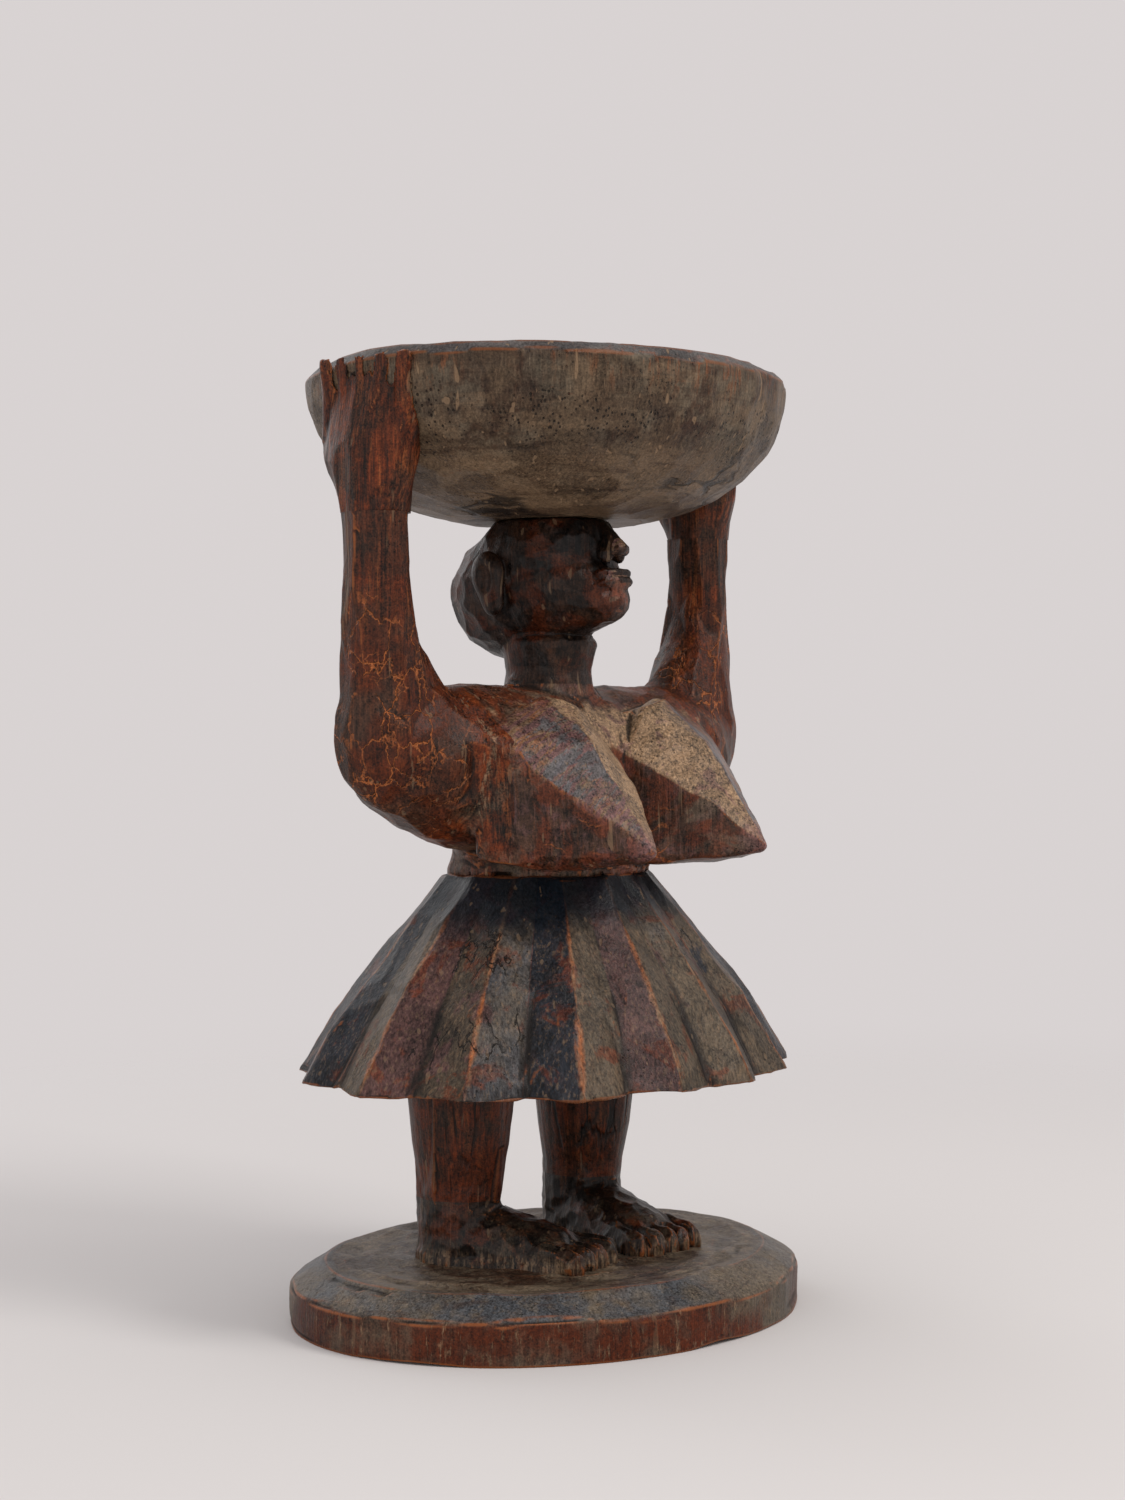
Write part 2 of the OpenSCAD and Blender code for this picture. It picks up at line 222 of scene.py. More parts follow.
class Bench:
    """Where the nodes of one tree are made."""

    def __init__(self, tree):
        self.tree = tree

    def node(self, kind, settings=None, values=None, out=0):
        made = self.tree.nodes.new(kind)
        for name, setting in (settings or {}).items():
            setattr(made, name, setting)
        for name, value in (values or {}).items():
            plug(self.tree, value, made.inputs[name])
        self.last = made
        return Wire(self.tree, made.outputs[out]) if made.outputs else None


class Patina(Bench):
    """The node tree of one wood finish, with the textures that all of them share."""

    def __init__(self, name):
        self.material = bpy.data.materials.new(name)
        self.material.use_nodes = True
        super().__init__(self.material.node_tree)
        self.tree.nodes.clear()
        self.place = self.node("ShaderNodeTexCoord", out="Object")

    def stretched(self, x, y, z):
        """The place on the object, scaled on each axis."""
        return self.node("ShaderNodeMapping", {"vector_type": "POINT"},
                         {"Vector": self.place, "Scale": (x, y, z)})

    def cloud(self, scale, detail=4, rough=0.55, where=None, distort=0.0):
        return self.node("ShaderNodeTexNoise", {"noise_dimensions": "3D"},
                         {"Vector": where or self.place, "Scale": scale, "Detail": detail,
                          "Roughness": rough, "Distortion": distort}, out="Fac")

    def cells(self, scale, feature="F1", where=None):
        return self.node("ShaderNodeTexVoronoi", {"feature": feature},
                         {"Vector": where or self.place, "Scale": scale}, out="Distance")

    def spot(self, name):
        """A number that the mesh carries at each of its points."""
        return self.node("ShaderNodeAttribute", {"attribute_name": name}, out="Fac")

    def scratches(self, lean, turn):
        """Short thin marks that all lean one way, 1 on a mark and 0 away from it."""
        where = self.node("ShaderNodeMapping", {"vector_type": "POINT"},
                          {"Vector": self.place, "Scale": (330, 330, 24),
                           "Rotation": (0, math.radians(lean), math.radians(turn))})
        return self.cloud(1.0, 1, 0.4, where).step(0.715, 0.75)

    def blend(self, amount, first, second, kind="MIX"):
        mix = self.tree.nodes.new("ShaderNodeMix")
        mix.data_type = "RGBA"
        mix.blend_type = kind
        plug(self.tree, amount, mix.inputs[0])
        for place, colour in ((6, first), (7, second)):
            plug(self.tree, colour if isinstance(colour, Wire) else (*colour, 1), mix.inputs[place])
        return Wire(self.tree, mix.outputs[2])

    def finish(self, colour, rough, height, depth=0.6 * MM, coat=0.06):
        bump = self.node("ShaderNodeBump", None, {"Height": height, "Distance": depth})
        self.last.inputs["Strength"].default_value = 1.0
        shader = self.node("ShaderNodeBsdfPrincipled", None,
                           {"Base Color": colour, "Roughness": rough, "Normal": bump})
        self.last.inputs["Specular IOR Level"].default_value = 0.16
        self.last.inputs["Coat Weight"].default_value = coat
        self.last.inputs["Coat Roughness"].default_value = 0.38
        self.node("ShaderNodeOutputMaterial", None, {"Surface": shader})
        return self.material


# ---- the wood's finishes ----


def dull(colour, amount):
    return tuple(channel * amount for channel in colour)


def aged_wood(name, dark, main, light, worn, extra=None, streak=0.5, nicks=0.5, wear=0.8,
              speckle=2.0, coat=0.03, rough=0.42):
    """A dark patina over wood with upright grain, dirt in the hollows and worn ridges.
    extra(patina, colour, height) can add what only one finish has."""
    ink = colours()
    p = Patina(name + "_patina")
    fibres = p.cloud(1.0, 3, 0.65, p.stretched(1000, 1000, 48))
    strands = p.cloud(1.0, 4, 0.65, p.stretched(340, 340, 15))
    mottle = p.cloud(110, 6, 0.62, distort=0.5)
    drifts = p.cloud(24, 4, 0.55, distort=0.4)
    flecks = p.cloud(520, 3, 0.7)
    grit = p.cloud(1300, 2, 0.7)
    ridge, hollow, cut = p.spot("ridge"), p.spot("hollow"), p.spot("cut")

    colour = p.blend((drifts + (cut - 0.5) * 0.22).step(0.36, 0.58), dark, main)
    colour = p.blend(mottle.step(0.50, 0.62) * 0.65, colour, light)
    colour = p.blend(mottle.step(0.46, 0.36) * 0.65, colour, dull(dark, 0.6))
    stain = p.cloud(52, 5, 0.6, p.stretched(1, 1, 0.45), 0.6)
    colour = p.blend(stain.step(0.47, 0.38) * 0.5, colour, dull(dark, 0.6))
    colour = p.blend(strands.step(0.54, 0.62) * streak * 0.8, colour, worn)
    colour = p.blend(strands.step(0.47, 0.38) * (0.3 + streak * 0.5), colour, dull(dark, 0.4))
    colour = p.blend(fibres.step(0.54, 0.62) * (0.15 + 0.5 * streak), colour, light)
    height = fibres * 0.3 + strands * 0.4 + grit * 0.2 + flecks * 0.25 + mottle * 0.2
    if extra:
        colour, height = extra(p, colour, height)
    shade = (cut - 0.5) * 0.5 + (flecks - 0.5) * speckle + (fibres - 0.5) * (1.5 + 3 * streak)
    shade = shade + (grit - 0.5) * (0.6 + speckle) + 0.95
    colour = p.blend(1.0, colour, shade.maths("MAXIMUM", 0.12), "MULTIPLY")
    scratch = p.scratches(40, -35).maths("MAXIMUM", p.scratches(-30, 50)) * nicks
    colour = p.blend(scratch * 0.6, colour, dull(ink.tan, 0.6))
    rub_and_top_light = (ridge * (mottle + flecks * 0.5 + 0.2)).step(0.16, 0.75)
    colour = p.blend(rub_and_top_light * wear, colour, worn)
    dirt = (hollow * (1.3 - mottle)).step(0.12, 0.8)
    colour = p.blend(dirt * 0.85, colour, ink.soot_and_shade)
    pit = p.cells(430).step(0.17, 0.09) * p.cloud(50, 2).step(0.52, 0.62)
    colour = p.blend(pit * 0.75, colour, ink.soot_and_shade)
    height = height - pit * 0.7 - dirt * 0.2 - scratch * 0.4
    gloss = rough + (mottle - 0.5) * 0.3 + dirt * 0.2 - rub_and_top_light * 0.10 + (flecks - 0.5) * 0.2
    return p.finish(colour, gloss.clamped(), height, coat=coat)


def cracks(p, scale, width, where=None):
    """Thin lines between cells, 1 on a line and 0 away from it."""
    where = where or p.place
    shift = p.node("ShaderNodeTexNoise", {"noise_dimensions": "3D"},
                   {"Vector": where, "Scale": 2.2 * scale, "Detail": 3}, out="Color")
    wobble = p.node("ShaderNodeVectorMath", {"operation": "MULTIPLY_ADD"},
                    {0: shift, 1: (0.7 / scale,) * 3, 2: where})
    return p.cells(scale, "DISTANCE_TO_EDGE", wobble).step(width, width * 0.2)


def base_finish():
    ink = colours()

    def regions(p, colour, height):
        side, bevel = p.spot("side"), p.spot("bevel")
        ticks = p.cloud(1.0, 3, 0.7, p.stretched(520, 520, 110)).step(0.56, 0.68)
        brick = p.blend(p.cloud(28, 5).step(0.44, 0.60), dull(ink.rust, 0.48), dull(ink.olive, 0.6))
        brick = p.blend(p.cloud(130, 4).step(0.50, 0.66) * 0.6, brick, dull(ink.umber, 1.0))
        brick = p.blend(ticks * 0.5, brick, dull(ink.tan, 0.5))
        colour = p.blend(side, colour, brick)
        bloom_and_sheen = p.blend(p.cloud(30, 5).step(0.42, 0.60), dull(ink.slate, 1.0), dull(ink.olive, 0.8))
        # painted sheen: the upward-tilted bevel is tinted blue-grey, partly dust and partly painted
        # reflection
        colour = p.blend(bevel * p.cloud(60, 4).step(0.28, 0.5), colour, bloom_and_sheen)
        swept = p.cloud(1.0, 5, 0.7, p.stretched(60, 60, 300), 1.5).step(0.52, 0.64) * (1 - side)
        colour = p.blend(swept * 0.5, colour, dull(ink.umber, 0.9))
        dust = p.cloud(150, 6, 0.75).step(0.52, 0.62) * (1 - side * 0.7)
        colour = p.blend(dust * 0.4, colour, dull(ink.olive, 1.15))
        return colour, height + ticks * 0.5

    return aged_wood("base_wood", dull(ink.umber, 1.0), dull(ink.olive, 0.85), dull(ink.olive, 1.35),
                     dull(ink.ember, 0.62), regions, streak=0.1, nicks=0.3, wear=0.7, speckle=1.8,
                     rough=0.40)


def foot_finish():
    ink = colours()

    def sole(p, colour, height):
        cut_free = p.spot("sole") * p.cloud(1.0, 3, 0.7, p.stretched(500, 500, 60)).step(0.42, 0.60)
        colour = p.blend(cut_free * 0.75, colour, dull(ink.tan, 0.42))
        red = p.cloud(70, 4, 0.6).step(0.52, 0.66)
        return p.blend(red * 0.5, colour, dull(ink.rust, 0.7)), height

    return aged_wood("foot_wood", dull(ink.soot_and_shade, 1.3), dull(ink.umber, 0.5), dull(ink.olive, 0.4),
                     dull(ink.ember, 0.45), sole, streak=0.2, wear=0.8, rough=0.34, coat=0.1)


def leg_finish():
    ink = colours()

    def splits(p, colour, height):
        line = cracks(p, 1.0, 0.04, p.stretched(60, 60, 8))
        line = line * p.cloud(32, 2).step(0.46, 0.58)
        colour = p.blend(line, colour, ink.soot_and_shade)
        red = p.cloud(60, 5, 0.6, p.stretched(1, 1, 0.3)).step(0.48, 0.60)
        colour = p.blend(red * 0.5, colour, dull(ink.rust, 0.6))
        return colour, height - line * 1.4

    return aged_wood("leg_wood", dull(ink.umber, 0.8), dull(ink.rust, 0.42), dull(ink.rust, 0.62),
                     dull(ink.ember, 0.3), splits, streak=0.4, wear=0.6, rough=0.38)


def skirt_finish():
    ink = colours()

    def pleat_tones(p, colour, height):
        tone, hue = p.spot("tone"), p.spot("hue")
        crest, fold, soot_and_shade = p.spot("crest"), p.spot("fold"), p.spot("soot_and_shade")
        patch = p.cloud(30, 5, 0.6, p.stretched(1, 1, 0.5), 0.6) - 0.5
        tatter = p.cloud(95, 5, 0.68, p.stretched(1, 1, 0.3), 0.6) - 0.5
        stain = p.blend((hue + patch * 0.8).step(0.34, 0.46), ink.indigo, dull(ink.plum, 0.75))
        mossy = p.cloud(30, 4, 0.6, p.stretched(1, 1, 0.4)).step(0.42, 0.58)
        mossy = p.blend(mossy, dull(ink.slate, 0.85), dull(ink.olive, 0.75))
        stain = p.blend((hue + patch + tatter * 0.5).step(0.70, 0.80), stain, mossy)
        wood = (hue + tatter * 1.5).step(0.40, 0.60)
        wood = p.blend(wood, dull(ink.olive, 0.62), dull(ink.olive, 0.36))
        faces = p.blend((tone + patch * 1.5 + tatter * 0.8).step(0.46, 0.56), stain, wood)
        colour = p.blend(0.82, colour, faces)
        bruise = (p.cloud(42, 5, 0.65, distort=1.0) + tatter * 0.3).step(0.54, 0.62)
        colour = p.blend(bruise * 0.6, colour, dull(ink.rust, 0.8))
        ragged = p.cloud(70, 5, 0.7, p.stretched(1, 1, 0.35))
        worn = (crest * 1.1 + (ragged - 0.5) * 2.2).step(0.62, 1.15) * crest.step(0.02, 0.4)
        worn_tone = p.blend(tatter.step(-0.1, 0.15), dull(ink.ember, 0.6), dull(ink.tan, 0.55))
        colour = p.blend(worn * 0.85, colour, worn_tone)
        hatch = p.cloud(1.0, 3, 0.7, p.stretched(700, 700, 70))
        colour = p.blend(hatch.step(0.55, 0.63) * 0.35, colour, dull(ink.tan, 0.38))
        colour = p.blend(hatch.step(0.46, 0.38) * 0.5, colour, ink.soot_and_shade)
        colour = p.blend((fold + tatter * 0.3).step(0.80, 1.0) * 0.8, colour, ink.soot_and_shade)
        # painted shadow: the upper front of the skirt, under the chest, is darkened blue-black
        colour = p.blend((soot_and_shade + patch * 0.8).step(0.35, 0.8) * 0.9, colour, dull(ink.indigo, 0.6))
        split = cracks(p, 1.0, 0.03, p.stretched(95, 95, 9)) * p.cloud(22, 2).step(0.62, 0.66)
        colour = p.blend(split * 0.9, colour, ink.soot_and_shade)
        return colour, height + hatch * 0.4 - split * 1.0

    return aged_wood("skirt_wood", dull(ink.umber, 0.6), dull(ink.umber, 1.2), dull(ink.olive, 0.8),
                     dull(ink.ember, 0.5), pleat_tones, streak=0.35, wear=0.6, speckle=0.6, rough=0.38)


def chest_colour(p, colour):
    """The red-brown patches that the chest, the breasts and the upper arms share."""
    ink = colours()
    red = p.cloud(46, 5, 0.65, distort=0.9).step(0.47, 0.57)
    colour = p.blend(red * 0.6, colour, dull(ink.rust, 0.8))
    grey = p.cloud(33, 5, 0.65, distort=0.9).step(0.52, 0.62)
    colour = p.blend(grey * 0.5, colour, dull(ink.olive, 0.75))
    thin = cracks(p, 44, 0.022, p.stretched(1, 1, 1.6)) * p.cloud(38, 2).step(0.52, 0.62)
    return p.blend(thin * 0.7, colour, dull(ink.ember, 0.6))


def rubbed_and_top_lit(p, colour, height):
    """The chest's rubbed and blooming faces, on the breasts and on the body behind them."""
    ink = colours()
    rub_and_top_light, top = p.spot("rub_and_top_light"), p.spot("top")
    colour = chest_colour(p, colour)
    veil = p.cloud(90, 6, 0.68, distort=0.5)
    strokes = p.node("ShaderNodeMapping", {"vector_type": "POINT"},
                     {"Vector": p.place, "Rotation": (0.5, 0.3, 0.9), "Scale": (90, 700, 90)})
    tooled = p.cloud(1.0, 4, 0.7, strokes)
    patch = p.cloud(40, 4, 0.6, distort=0.8)
    bloom_and_sheen = (top * (patch + (veil - 0.5) * 0.3 + (tooled - 0.5) * 0.5)).step(0.49, 0.57)
    warm = p.blend(tooled.step(0.46, 0.54), dull(ink.plum, 1.2), dull(ink.tan, 0.40))
    warm = p.blend((veil + tooled - 0.5).step(0.51, 0.62) * 0.65, warm, dull(ink.ember, 0.42))
    # painted top light: faces turned upward are made warmer and lighter
    colour = p.blend(top * 0.85, colour, warm)
    # painted sheen: upward faces take a blue-grey film, partly a real grey film and partly painted sky
    # reflection
    colour = p.blend(bloom_and_sheen * 0.85, colour, dull(ink.slate, 1.0))
    stipple = p.cloud(900, 2, 0.6)
    bare_and_top_light = (rub_and_top_light * (veil * 1.3 + patch * 0.5 + 0.1) + (tooled - 0.5) * 0.3).step(0.42, 0.95)
    drawn = (tooled * 0.7 + stipple * 0.3).step(0.42, 0.58)
    tan = p.blend(drawn, dull(ink.tan, 0.52), dull(ink.tan, 0.66))
    tan = p.blend(veil.step(0.45, 0.37) * 0.6, tan, dull(ink.plum, 1.5))
    # painted top light: the upward inner faces are made pale tan, over real wear there
    colour = p.blend(bare_and_top_light * 0.95, colour, tan)
    tip = p.spot("tip") * (veil + 0.4).step(0.5, 0.9)
    colour = p.blend(tip * 0.7, colour, dull(ink.plum, 1.5))
    return colour, height + stipple * bare_and_top_light * 0.4 + tooled * 0.35


def breast_finish():
    ink = colours()
    return aged_wood("breast_wood", dull(ink.umber, 0.75), dull(ink.umber, 1.3), dull(ink.plum, 0.9),
                     dull(ink.ember, 0.5), rubbed_and_top_lit, streak=0.2, nicks=0.7, rough=0.36, coat=0.08)


def body_finish():
    ink = colours()

    def ringed(p, colour, height):
        colour, height = rubbed_and_top_lit(p, colour, height)
        rings = p.cloud(1.0, 3, 0.7, p.stretched(60, 60, 900)) * p.spot("neck")
        colour = p.blend(rings.step(0.52, 0.60) * 0.6, colour, dull(ink.tan, 0.35))
        colour = p.blend(p.spot("neck") * 0.5, colour, dull(ink.umber, 0.7))
        return colour, height + rings * 0.9

    return aged_wood("body_wood", dull(ink.umber, 0.75), dull(ink.umber, 1.3), dull(ink.plum, 0.9),
                     dull(ink.ember, 0.5), ringed, streak=0.2, nicks=0.7, rough=0.38)


def arm_finish():
    ink = colours()

    def crazing(p, colour, height):
        crust, inner, reach = p.spot("crust"), p.spot("chest"), p.spot("reach")
        streaks = p.cloud(1.0, 5, 0.72, p.stretched(380, 380, 17))
        colour = p.blend(streaks.step(0.53, 0.66) * (1 - crust) * 0.6, colour, dull(ink.ember, 0.40))
        colour = p.blend(streaks.step(0.47, 0.36) * (1 - crust) * 0.7, colour, dull(ink.soot_and_shade, 1.2))
        scale = p.cloud(28, 3, 0.6)
        shell = p.blend(scale.step(0.42, 0.56), dull(ink.umber, 0.75), dull(ink.rust, 0.4))
        colour = p.blend(crust * 0.8, colour, shell)
        fade = p.cloud(40, 3, 0.6).step(0.42, 0.58)
        line = cracks(p, 88, 0.040, p.stretched(1, 1, 0.72)) * fade * crust.step(0.1, 0.6)
        colour = p.blend(line * 0.85, colour, dull(ink.ember, 0.6))
        fine = cracks(p, 210, 0.05) * fade * crust.step(0.5, 1.0) * p.cloud(70, 2).step(0.5, 0.6)
        colour = p.blend(fine * 0.5, colour, dull(ink.ember, 0.6))
        colour = p.blend(inner, colour, chest_colour(p, colour))
        combed = p.cloud(1.0, 3, 0.7, p.stretched(800, 800, 40)) * p.spot("crease")
        colour = p.blend(combed.step(0.42, 0.6) * 0.7, colour, dull(ink.tan, 0.5))
        dark = (reach + scale - 0.5).step(0.55, 0.9)
        colour = p.blend(dark * 0.5, colour, dull(ink.umber, 0.6))
        return colour, height - line * 0.8 + combed * 0.4

    return aged_wood("arm_wood", dull(ink.umber, 0.8), dull(ink.rust, 0.50), dull(ink.rust, 0.85),
                     dull(ink.ember, 0.6), crazing, streak=0.4, wear=0.7, rough=0.40)


def head_finish():
    ink = colours()

    def polished(p, colour, height):
        haze = p.cloud(80, 5, 0.65).step(0.50, 0.70)
        colour = p.blend(haze * 0.25, colour, dull(ink.slate, 0.45))
        red = p.cloud(55, 4, 0.6, distort=0.6).step(0.48, 0.60)
        return p.blend(red * 0.6, colour, dull(ink.rust, 0.45)), height

    return aged_wood("head_wood", dull(ink.soot_and_shade, 0.8), dull(ink.umber, 0.38), dull(ink.umber, 0.8),
                     dull(ink.ember, 0.22), polished, streak=0.15, wear=0.5, rough=0.34, coat=0.05)


def bowl_finish():
    ink = colours()

    def dusty(p, colour, height):
        rim, low = p.spot("rim"), p.spot("low")
        dust = p.cloud(150, 6, 0.66, p.stretched(1, 1, 0.8), 0.5).step(0.46, 0.62)
        colour = p.blend(dust * 0.28, colour, dull(ink.olive, 1.1))
        warm = p.cloud(36, 4, 0.6).step(0.44, 0.58)
        colour = p.blend(warm * 0.65, colour, dull(ink.tan, 0.26))
        # painted light from below: the lower half of the bowl is made lighter tan
        colour = p.blend(low * 0.5, colour, dull(ink.tan, 0.38))
        band = p.cloud(1.0, 6, 0.68, p.stretched(13, 13, 150), 0.4)
        colour = p.blend(band.step(0.51, 0.60) * (0.35 + low * 0.3), colour, dull(ink.umber, 0.6))
        colour = p.blend(band.step(0.45, 0.37) * (0.25 + low * 0.3), colour, dull(ink.tan, 0.38))
        seam = cracks(p, 1.0, 0.05, p.stretched(14, 14, 70)) * low * p.cloud(24, 2).step(0.48, 0.6)
        colour = p.blend(seam * 0.8, colour, ink.soot_and_shade)
        pores = p.cells(1.0, where=p.stretched(560, 560, 400)).step(0.30, 0.16)
        pores = pores * (p.cloud(24, 3, 0.6) + p.spot("belt") * 0.16).step(0.55, 0.62)
        colour = p.blend(pores * 0.85, colour, ink.soot_and_shade)
        chatter = p.cloud(1.0, 4, 0.75, p.stretched(330, 330, 40))
        chatter = chatter.step(0.50, 0.64) * rim * p.cloud(30, 3).step(0.42, 0.58)
        colour = p.blend(chatter * 0.75, colour, dull(ink.ember, 0.5))
        # painted sheen: the upward chamfer at the rim is tinted blue-grey, over some real grey dust
        facet = p.spot("chamfer")
        colour = p.blend(facet * 0.6, colour, dull(ink.slate, 1.15))
        return colour, height - pores * 0.8 - seam * 0.8 + chatter * 0.3

    return aged_wood("bowl_wood", dull(ink.umber, 0.85), dull(ink.olive, 0.52), dull(ink.olive, 0.74),
                     dull(ink.ember, 0.45), dusty, streak=0.08, nicks=1.0, wear=0.55, speckle=1.0,
                     rough=0.44, coat=0.0)


FINISHES = {
    "base_wood": base_finish, "foot_wood": foot_finish, "leg_wood": leg_finish,
    "skirt_wood": skirt_finish, "body_wood": body_finish, "breast_wood": breast_finish,
    "arm_wood": arm_finish, "head_wood": head_finish, "bowl_wood": bowl_finish,
}


def finish_of(slot):
    return bpy.data.materials.get(slot + "_patina") or FINISHES[slot]()


# ---- numbers at the points of a mesh ----


def noise(points, scale, seed, octaves=3):
    """Smooth random numbers from about -1 to 1 that depend only on the place and the seed."""
    total = np.zeros(len(points))
    weight, weights = 1.0, 0.0
    where = points * scale + seed * 17.31
    for _ in range(octaves):
        cell = np.floor(where).astype(np.int64)
        inside = where - cell
        inside = inside * inside * (3 - 2 * inside)
        value = np.zeros(len(points))
        for corner in range(8):
            step = np.array([corner & 1, corner >> 1 & 1, corner >> 2 & 1])
            key = (cell + step) @ np.array([73856093, 19349663, 83492791]) + seed * 668265263
            key = (key ^ (key >> 13)) * 1274126177 & 0x7FFFFFFF
            near = np.where(step, inside, 1 - inside).prod(1)
            value += near * ((key ^ (key >> 16)) % 65536 / 32767.5 - 1)
        total += weight * value
        weights += weight
        weight *= 0.5
        where = where * 2.03 + 11.7
    return total / weights


def ramp(value, width):
    """0 at or under 0, 1 at or over the width, and straight between them."""
    return np.clip(value / width, 0, 1)


def points_of(mesh):
    points = np.empty(len(mesh.vertices) * 3)
    mesh.vertices.foreach_get("co", points)
    return points.reshape(-1, 3)


def normals_of(mesh):
    normals = np.empty(len(mesh.vertices) * 3)
    mesh.vertex_normals.foreach_get("vector", normals)
    return normals.reshape(-1, 3)


def move_points(mesh, points):
    mesh.vertices.foreach_set("co", points.ravel())
    mesh.update()


def set_spot(mesh, name, values):
    """Stores one number for each point, which a finish reads by name."""
    layer = mesh.attributes.get(name) or mesh.attributes.new(name, "FLOAT", "POINT")
    layer.data.foreach_set("value", np.ascontiguousarray(values, dtype=np.float32))


def relaxed(mesh, points, times):
    """The points after each is drawn halfway towards its neighbours so many times."""
    edges = np.empty(len(mesh.edges) * 2, dtype=np.int64)
    mesh.edges.foreach_get("vertices", edges)
    one, two = edges.reshape(-1, 2).T
    n = len(points)
    degree = np.maximum(np.bincount(one, minlength=n) + np.bincount(two, minlength=n), 1)
    for _ in range(times):
        total = np.stack([np.bincount(one, points[two, k], n) + np.bincount(two, points[one, k], n)
                          for k in range(3)], 1)
        points = points + 0.5 * (total / degree[:, None] - points)
    return points


def smooth_mesh(mesh, times):
    move_points(mesh, relaxed(mesh, points_of(mesh), times))


def filled(mesh, times, amount=1.0):
    """Rounds the creases of a mesh and leaves its ridges alone."""
    points, normals = points_of(mesh), normals_of(mesh)
    shift = relaxed(mesh, points, times) - points
    rise = np.maximum((shift * normals).sum(1), 0) * amount
    move_points(mesh, points + normals * rise[:, None])


def cut_facets(mesh, width, bite, lean=4.0, stretch=(1, 1, 1), amount=1.0, seed=0, warp=None,
               scoop=0.35, proud=0.5):
    """Cuts the surface with a knife, in flat or slightly hollow facets that meet in ridges.
    width is a facet's usual width, stretch its relative length on each axis, bite the most it
    takes off, lean its tilt in degrees, and amount can be one number for each point."""
    rng = np.random.default_rng(sizes().seed * 1000 + seed)
    points, normals = points_of(mesh), normals_of(mesh)
    where = (points if warp is None else warp(points)) / np.array(stretch)
    order = rng.permutation(len(points))
    cell = np.floor(where[order] / width + rng.random(3)).astype(np.int64)
    key = cell @ np.array([1, 4001, 16008001])
    seeds = order[np.unique(key, return_index=True)[1]]
    soft = relaxed(mesh, normals, 10)
    tilt = soft[seeds] + rng.normal(0, math.tan(math.radians(lean)), (len(seeds), 3))
    tilt /= np.linalg.norm(tilt, axis=1, keepdims=True)
    origin = points[seeds] - tilt * rng.uniform(0.5 * bite, bite, (len(seeds), 1))
    tree = kdtree.KDTree(len(seeds))
    for place, spot in enumerate(where[seeds]):
        tree.insert(spot, place)
    tree.balance()
    many = min(8, len(seeds))
    found = [tree.find_n(spot, many) for spot in where]
    near = np.array([[hit[1] for hit in hits] for hits in found])
    away = np.array([[hit[2] for hit in hits] for hits in found])
    lean_to = tilt[near]
    facing = np.einsum("pkc,pc->pk", lean_to, normals)
    push = np.einsum("pkc,pkc->pk", origin[near] - points[:, None], lean_to) / np.maximum(facing, 0.5)
    push = np.maximum(push, -1.6 * bite) + scoop * bite * (away / (0.5 * width)) ** 2
    push[facing < 0.3] = 1
    chosen = push.argmin(1)
    push = np.clip(push.min(1), -1.3 * bite, proud * bite) * amount
    move_points(mesh, points + normals * push[:, None])
    set_spot(mesh, "cut", rng.random(len(seeds))[near[np.arange(len(points)), chosen]])


def mark_wear(mesh, fine=3, broad=24, sharp=0.16 * MM):
    """Finds the ridges and hollows, which the finishes wear bright and fill with dirt."""
    points, normals = points_of(mesh), normals_of(mesh)
    near = ((points - relaxed(mesh, points, fine)) * normals).sum(1)
    far = ((points - relaxed(mesh, points, broad)) * normals).sum(1)
    edge = (near - far * fine / broad) / sharp
    set_spot(mesh, "ridge", np.clip(edge, 0, 1))
    set_spot(mesh, "hollow", np.clip(-edge - np.minimum(far, 0) / (5 * sharp), 0, 1))


# ---- meshes ----


def new_object(name, mesh):
    made = bpy.data.objects.new(name, mesh)
    bpy.context.scene.collection.objects.link(made)
    return made


def mesh_from(name, points, faces):
    mesh = bpy.data.meshes.new(name)
    mesh.from_pydata([tuple(point) for point in points], [], [tuple(face) for face in faces])
    mesh.update()
    return mesh


def baked(thing):
    """The object's mesh with its modifiers applied, in place of the object."""
    bpy.context.view_layer.update()
    mesh = bpy.data.meshes.new_from_object(thing.evaluated_get(bpy.context.evaluated_depsgraph_get()))
    old = thing.data
    bpy.data.objects.remove(thing)
    bpy.data.meshes.remove(old)
    mesh.materials.clear()
    return mesh


def block_of(nodes, spacing):
    """One closed skin over some CAD nodes, at an even mesh spacing."""
    bm = bmesh.new()
    for node in nodes:
        bm.from_mesh(frame["nodes"][node].data)
    bmesh.ops.remove_doubles(bm, verts=bm.verts, dist=1e-6)
    mesh = bpy.data.meshes.new("block")
    bm.to_mesh(mesh)
    bm.free()
    thing = new_object("block", mesh)
    skin = thing.modifiers.new("Skin", "REMESH")
    skin.mode = "VOXEL"
    skin.voxel_size = spacing
    skin.adaptivity = 0
    mesh = baked(thing)
    smooth_mesh(mesh, 3)
    return mesh


def trimmed(mesh, *planes):
    """What is left of a closed mesh behind each (point, normal) plane, with the cuts closed."""
    bm = bmesh.new()
    bm.from_mesh(mesh)
    for point, normal in planes:
        everything = bm.verts[:] + bm.edges[:] + bm.faces[:]
        done = bmesh.ops.bisect_plane(bm, geom=everything, dist=1e-8, plane_co=point,
                                      plane_no=normal, clear_outer=True)
        rim = [item for item in done["geom_cut"] if isinstance(item, bmesh.types.BMEdge)]
        if rim:
            bmesh.ops.triangle_fill(bm, use_beauty=True, use_dissolve=False, edges=rim, normal=normal)
            for edge in rim:
                edge.smooth = False
    part = bpy.data.meshes.new("part")
    bm.to_mesh(part)
    bm.free()
    return part


def above(height):
    return (0, 0, height), (0, 0, -1)


def below(height):
    return (0, 0, height), (0, 0, 1)


def outside(x, side):
    return (side * x, 0, 0), (-side, 0, 0)


